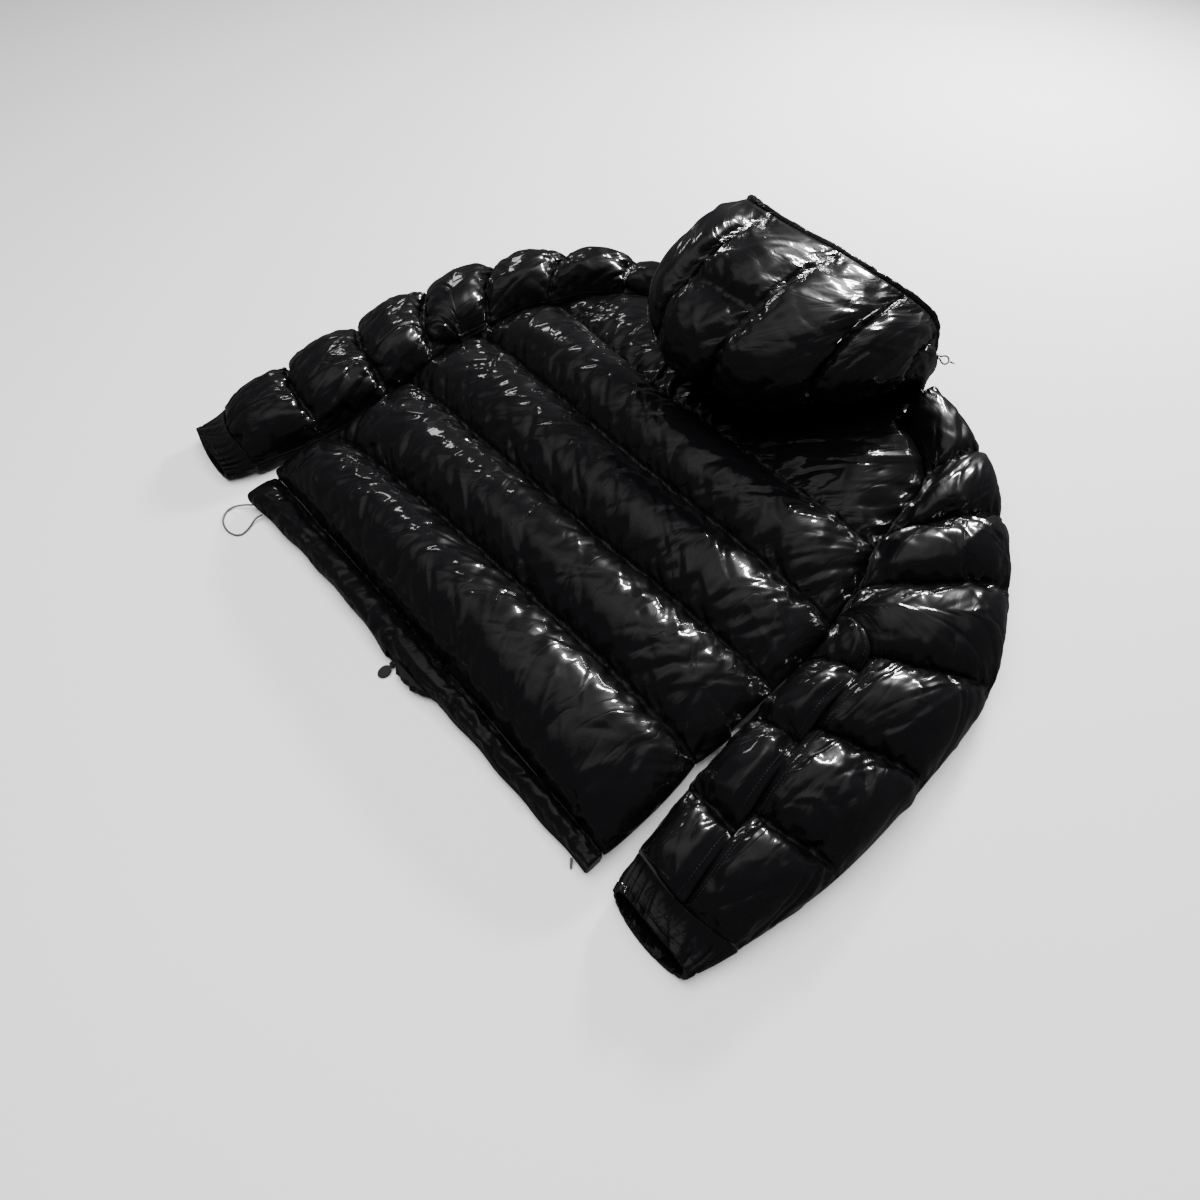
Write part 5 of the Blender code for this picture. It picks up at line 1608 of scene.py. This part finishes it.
@dataclass
class Cords:
    """The hem's elastic cord and the hood's cord, on the same routes as their solids."""

    hem_radius: float = 0.0011
    hood_radius: float = 0.0011
    hem_route: tuple[tuple[float, float, float], ...] = (
        (-0.2962, 0.0045, 0.0080), (-0.3030, -0.0008, 0.0068), (-0.3095, -0.0058, 0.0044),
        (-0.3147, -0.0120, 0.0024), (-0.3152, -0.0207, 0.0014), (-0.3099, -0.0282, 0.0012),
        (-0.3032, -0.0329, 0.0012), (-0.2939, -0.0357, 0.0012), (-0.2842, -0.0358, 0.0012),
        (-0.2765, -0.0334, 0.0012), (-0.2725, -0.0303, 0.0012), (-0.2707, -0.0261, 0.0012),
        (-0.2719, -0.0194, 0.0012), (-0.2752, -0.0119, 0.0016), (-0.2773, -0.0060, 0.0034),
        (-0.2768, -0.0008, 0.0060), (-0.2746, 0.0050, 0.0076),
    )
    hood_out: tuple[float, float] = (0.94, 0.34)
    hood_angle: float = 81.0
    barrel_radius: float = 0.0026
    barrel_half: float = 0.0036
    barrel_groove: float = 0.86
    barrel_round: float = 0.0004
    hood_route: tuple[tuple[float, float, float], ...] = (
        (0.0007, 0.0000, 0.0013), (0.0024, 0.0015, 0.0013), (0.0052, 0.0045, 0.0008),
        (0.0084, 0.0062, 0.0000), (0.0112, 0.0045, -0.0010), (0.0124, 0.0008, -0.0020),
        (0.0120, -0.0030, -0.0025), (0.0092, -0.0062, -0.0028), (0.0056, -0.0055, -0.0025),
        (0.0024, -0.0020, -0.0016), (0.0007, 0.0000, -0.0013),
    )

    def cord(self, name: str, route: np.ndarray, radius: float, count: int,
             material: bpy.types.Material) -> tuple[bpy.types.Object, float]:
        """A cord as a curve through its route's points, and its length."""
        places = np.linspace(0.0, len(route) - 1.0, count)
        line = np.stack([read(route[:, axis], places) for axis in range(3)], -1) + ORIGIN
        curve = bpy.data.curves.new(name, "CURVE")
        curve.dimensions = "3D"
        curve.bevel_depth = radius
        curve.bevel_resolution = 4
        curve.use_fill_caps = True
        spline = curve.splines.new("POLY")
        spline.points.add(count - 1)
        for point, at in zip(spline.points, line):
            point.co = (*at, 1.0)
        spline.use_smooth = True
        curve.materials.append(material)
        return link(name, curve), float(np.linalg.norm(np.diff(line, axis=0), axis=1).sum())

    def build(self, wardrobe: Wardrobe) -> None:
        """Makes both cords, with the barrel on the hood's."""
        route = np.array(self.hem_route)
        hem, length = self.cord("hem_cord_braid", route, self.hem_radius, 60, wardrobe.elastic)
        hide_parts("hem_cord")
        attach(hem, JACKET)

        out = np.array((*self.hood_out, 0.0))
        out /= np.linalg.norm(out)
        aside = np.array((-out[1], out[0], 0.0))
        barrel = Pattern.rim_middle(np.array(math.radians(self.hood_angle))) + out * (
            RIM_RADIUS + self.barrel_radius)
        steps = np.array(self.hood_route)
        up = np.array((0.0, 0.0, 1.0))
        route = (barrel + out * (self.barrel_radius + steps[:, :1]) + aside * steps[:, 1:2]
                 + up * steps[:, 2:3])
        toggle = self.barrel(barrel, wardrobe)
        loop, length = self.cord("hood_cord_braid", route, self.hood_radius, 48,
                                 wardrobe.black_elastic)
        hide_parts("hood_cord")
        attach(loop, JACKET)

    def barrel(self, middle: np.ndarray, wardrobe: Wardrobe) -> bpy.types.Object:
        """The barrel on the hood's cord: a cylinder with rounded ends and two grooves."""
        bpy.ops.object.select_all(action="DESELECT")
        at = middle + ORIGIN
        bpy.ops.mesh.primitive_cylinder_add(vertices=28, radius=self.barrel_radius,
                                            depth=2 * self.barrel_half, location=at)
        piece = bpy.context.object
        piece.name = "hood_cord_toggle"
        bpy.ops.object.transform_apply(location=True, rotation=True, scale=True)
        bpy.ops.object.mode_set(mode="EDIT")
        for height in (-0.35, -0.15, 0.15, 0.35):
            bpy.ops.mesh.select_all(action="SELECT")
            bpy.ops.mesh.bisect(plane_co=at + np.array((0, 0, height * 2 * self.barrel_half)),
                                plane_no=(0, 0, 1))
        bpy.ops.object.mode_set(mode="OBJECT")
        for vertex in piece.data.vertices:
            off = vertex.co - Vector(at)
            level = abs(off.z) / (2 * self.barrel_half)
            if 0.1 < level < 0.2:
                vertex.co = Vector(at) + Vector(
                    (off.x * self.barrel_groove, off.y * self.barrel_groove, off.z))
        bevel = piece.modifiers.new("round", "BEVEL")
        bevel.width = self.barrel_round
        bevel.segments = 2
        bevel.limit_method = "ANGLE"
        bpy.ops.object.modifier_apply(modifier=bevel.name)
        bpy.ops.object.shade_smooth_by_angle(angle=math.radians(40))
        piece.data.materials.append(wardrobe.plastic)
        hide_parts("hood_cord_barrel")
        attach(piece, JACKET)
        return piece


# ---------------------------------------------------------------- the studio

@dataclass(frozen=True)
class Softbox:
    """An area light: where it stands, its size and power, and whether gloss mirrors it."""

    name: str
    right: float
    ahead: float
    up: float
    size: tuple[float, float]
    power: float
    glossy: bool


@dataclass
class Studio:
    """The camera, the soft lights and the pale floor."""

    look: tuple[float, float, float] = (0.086, 0.2125, 0.0)
    distance: float = 0.94
    elevation: float = 54.0
    heading: float = 43.5
    lens: float = 25.5
    world: tuple[float, float, float, float] = (0.075, 0.075, 0.078, 1.0)
    lights: tuple[Softbox, ...] = (
        Softbox("window", 1.05, 1.48, 0.93, (0.36, 0.24), 55.0, True),
        Softbox("far window", -0.45, 1.90, 0.95, (0.40, 0.16), 1.8, True),
        *(Softbox(f"sheen {step}", -0.10, 0.50, 2.00 + 0.02 * step,
                  (1.0 + 0.7 * step, 0.4 + 0.45 * step), 0.31 * (1.0 + 0.7 * step) * (
                      0.4 + 0.45 * step), True) for step in range(5)),
        Softbox("overhead", 0.0, 0.0, 2.2, (2.4, 2.4), 120.0, False),
    )

    def build(self) -> None:
        """Adds the camera, the lights, the world and the floor."""
        scene = bpy.context.scene
        heading, tilt = math.radians(self.heading), math.radians(self.elevation)
        ahead = Vector((-math.cos(heading), math.sin(heading), 0.0))
        right = Vector((math.sin(heading), math.cos(heading), 0.0))
        middle = Vector(self.look) + Vector(ORIGIN)
        facing = ahead * math.cos(tilt) - Vector((0.0, 0.0, math.sin(tilt)))
        camera = bpy.data.objects.new("camera", bpy.data.cameras.new("camera"))
        camera.data.lens = self.lens
        camera.data.clip_start = 0.02
        camera.location = middle - facing * self.distance
        camera.rotation_euler = facing.to_track_quat("-Z", "Y").to_euler()
        scene.collection.objects.link(camera)
        scene.camera = camera
        for box in self.lights:
            lamp = bpy.data.lights.new(box.name, "AREA")
            lamp.shape = "RECTANGLE"
            lamp.size, lamp.size_y = box.size
            lamp.energy = box.power
            item = bpy.data.objects.new(box.name, lamp)
            item.location = middle + right * box.right + ahead * box.ahead + Vector(
                (0.0, 0.0, box.up))
            item.visible_glossy = box.glossy
            item.rotation_euler = (middle - item.location).to_track_quat("-Z", "Y").to_euler()
            scene.collection.objects.link(item)
        world = bpy.data.worlds.new("studio")
        world.use_nodes = True
        world.node_tree.nodes["Background"].inputs["Color"].default_value = self.world
        scene.world = world
        self.floor()

    @staticmethod
    def floor() -> None:
        """The pale floor, just under the jacket."""
        bpy.ops.object.select_all(action="DESELECT")
        bpy.ops.mesh.primitive_plane_add(size=12.0, location=(0.0, 0.0, -0.0004))
        floor = bpy.context.object
        floor.name = "floor"
        floor.visible_glossy = False
        bpy.ops.object.transform_apply(location=True, rotation=True, scale=True)
        n = Nodes("pale floor")
        place = n.add("TexCoord").outputs["Object"]
        n.tint(place, 1.5, (0.82, 0.82, 0.82, 1.0), (0.86, 0.86, 0.86, 1.0))
        n.feed(n.shader.inputs["Roughness"], 0.9)
        n.feed(n.shader.inputs["Specular IOR Level"], 0.1)
        floor.data.materials.append(n.material)


# ---------------------------------------------------------------- assembly

def dress_cloth(tailor: Tailor) -> dict[str, Cut]:
    """Sews every padded cut of the jacket.

    Args:
        tailor: the tailor that makes them.

    Returns:
        The cuts, by node.
    """
    body, hood = Body(), Hood()
    cuts = [body.back(), body.front(Side.LEFT), body.front(Side.RIGHT), body.hem_back()]
    for side in Side:
        sleeve = Sleeve(side)
        cuts += [sleeve.upper(), sleeve.under(), sleeve.fore()]
    cuts += [
        hood.piece("hood_side_right", (HOOD_FRONT_ANGLE, 48.0, 96.0,
                                       HOOD_SEAM_RIGHT - HOOD_SEAM_GAP)),
        hood.piece("hood_centre", (HOOD_SEAM_RIGHT, 177.0, HOOD_SEAM_LEFT), cross=True),
        hood.piece("hood_side_left", (HOOD_SEAM_LEFT + HOOD_SEAM_GAP, 238.0, 300.0,
                                      360.0 - HOOD_FRONT_ANGLE)),
    ]
    for cut in cuts:
        tailor.sew(cut)
    return {cut.node: cut for cut in cuts}


def dress_cuffs(wardrobe: Wardrobe) -> None:
    """Makes the two gathered cuffs and the hood's rim casing."""
    for side in Side:
        outer, inner = Sleeve(side).cuff()
        rings = np.concatenate((outer, inner[::-1]))
        count, around = rings.shape[:2]
        faces = Bench.tube_faces(count, around, False)
        index = np.arange(count * around).reshape(count, around)
        after = np.roll(index, -1, axis=1)
        faces += np.stack((index[-1], after[-1], after[0], index[0]), -1).tolist()
        piece = Bench.add(f"cuff_{side.word}_cloth", rings.reshape(-1, 3), faces,
                          wardrobe.nylon)
        closed = np.concatenate((rings, rings[:, :1]), axis=1)
        Bench.lay(piece, run_lengths(closed, 1)[:, :-1], run_lengths(rings, 0), 0.6)
        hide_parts(f"cuff_{side.word}")
        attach(piece, JACKET)

    rings = Hood().rim()
    casing = Bench.tube("hood_rim_cloth", rings, wardrobe.nylon)
    run = run_lengths(rings, 0)
    Bench.lay(casing, run, run_lengths(rings, 1), 1.0)
    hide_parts("hood_rim")
    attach(casing, JACKET)


def dress_nodes(nodes: dict[str, bpy.types.Object], wardrobe: Wardrobe) -> None:
    """Gives the nodes whose shape is right their better finish."""
    finishes = {
        "zip_tape_left": wardrobe.tape, "zip_tape_right": wardrobe.tape,
        "zip_chain": wardrobe.plastic, "zip_slider": wardrobe.plastic,
        "zip_pull": wardrobe.plastic, "hem_cord_end": wardrobe.elastic,
        "hood_cord_tip": wardrobe.black_elastic, "hood_cord_barrel": wardrobe.plastic,
        "hem_front_left": wardrobe.nylon, "hem_front_right": wardrobe.nylon,
    }
    for node, material in finishes.items():
        for slot in nodes[node].material_slots:
            slot.material = material


def dress_stitches(tailor: Tailor, cuts: dict[str, Cut]) -> None:
    """Adds the stitches along the quilting lines and seams."""
    seamstress = Seamstress(tailor, Stitching())
    for node, cut in cuts.items():
        if node.startswith("front") or node.endswith("_front"):
            continue
        lines = seamstress.lines_of(cut)
        if lines:
            seamstress.stitch(f"{node}_stitches", lines)


def main() -> None:
    """Dresses the jacket and sets up the studio."""
    logging.basicConfig(level=logging.INFO, format="%(name)s: %(message)s")
    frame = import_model()
    Studio().build()
    wardrobe = Wardrobe()
    Cords().build(wardrobe)
    tailor = Tailor(wardrobe)
    cuts = dress_cloth(tailor)
    dress_cuffs(wardrobe)
    dress_nodes(frame["nodes"], wardrobe)
    dress_stitches(tailor, cuts)
    bpy.context.scene.frame_set(1)


if __name__ == "__main__":
    main()
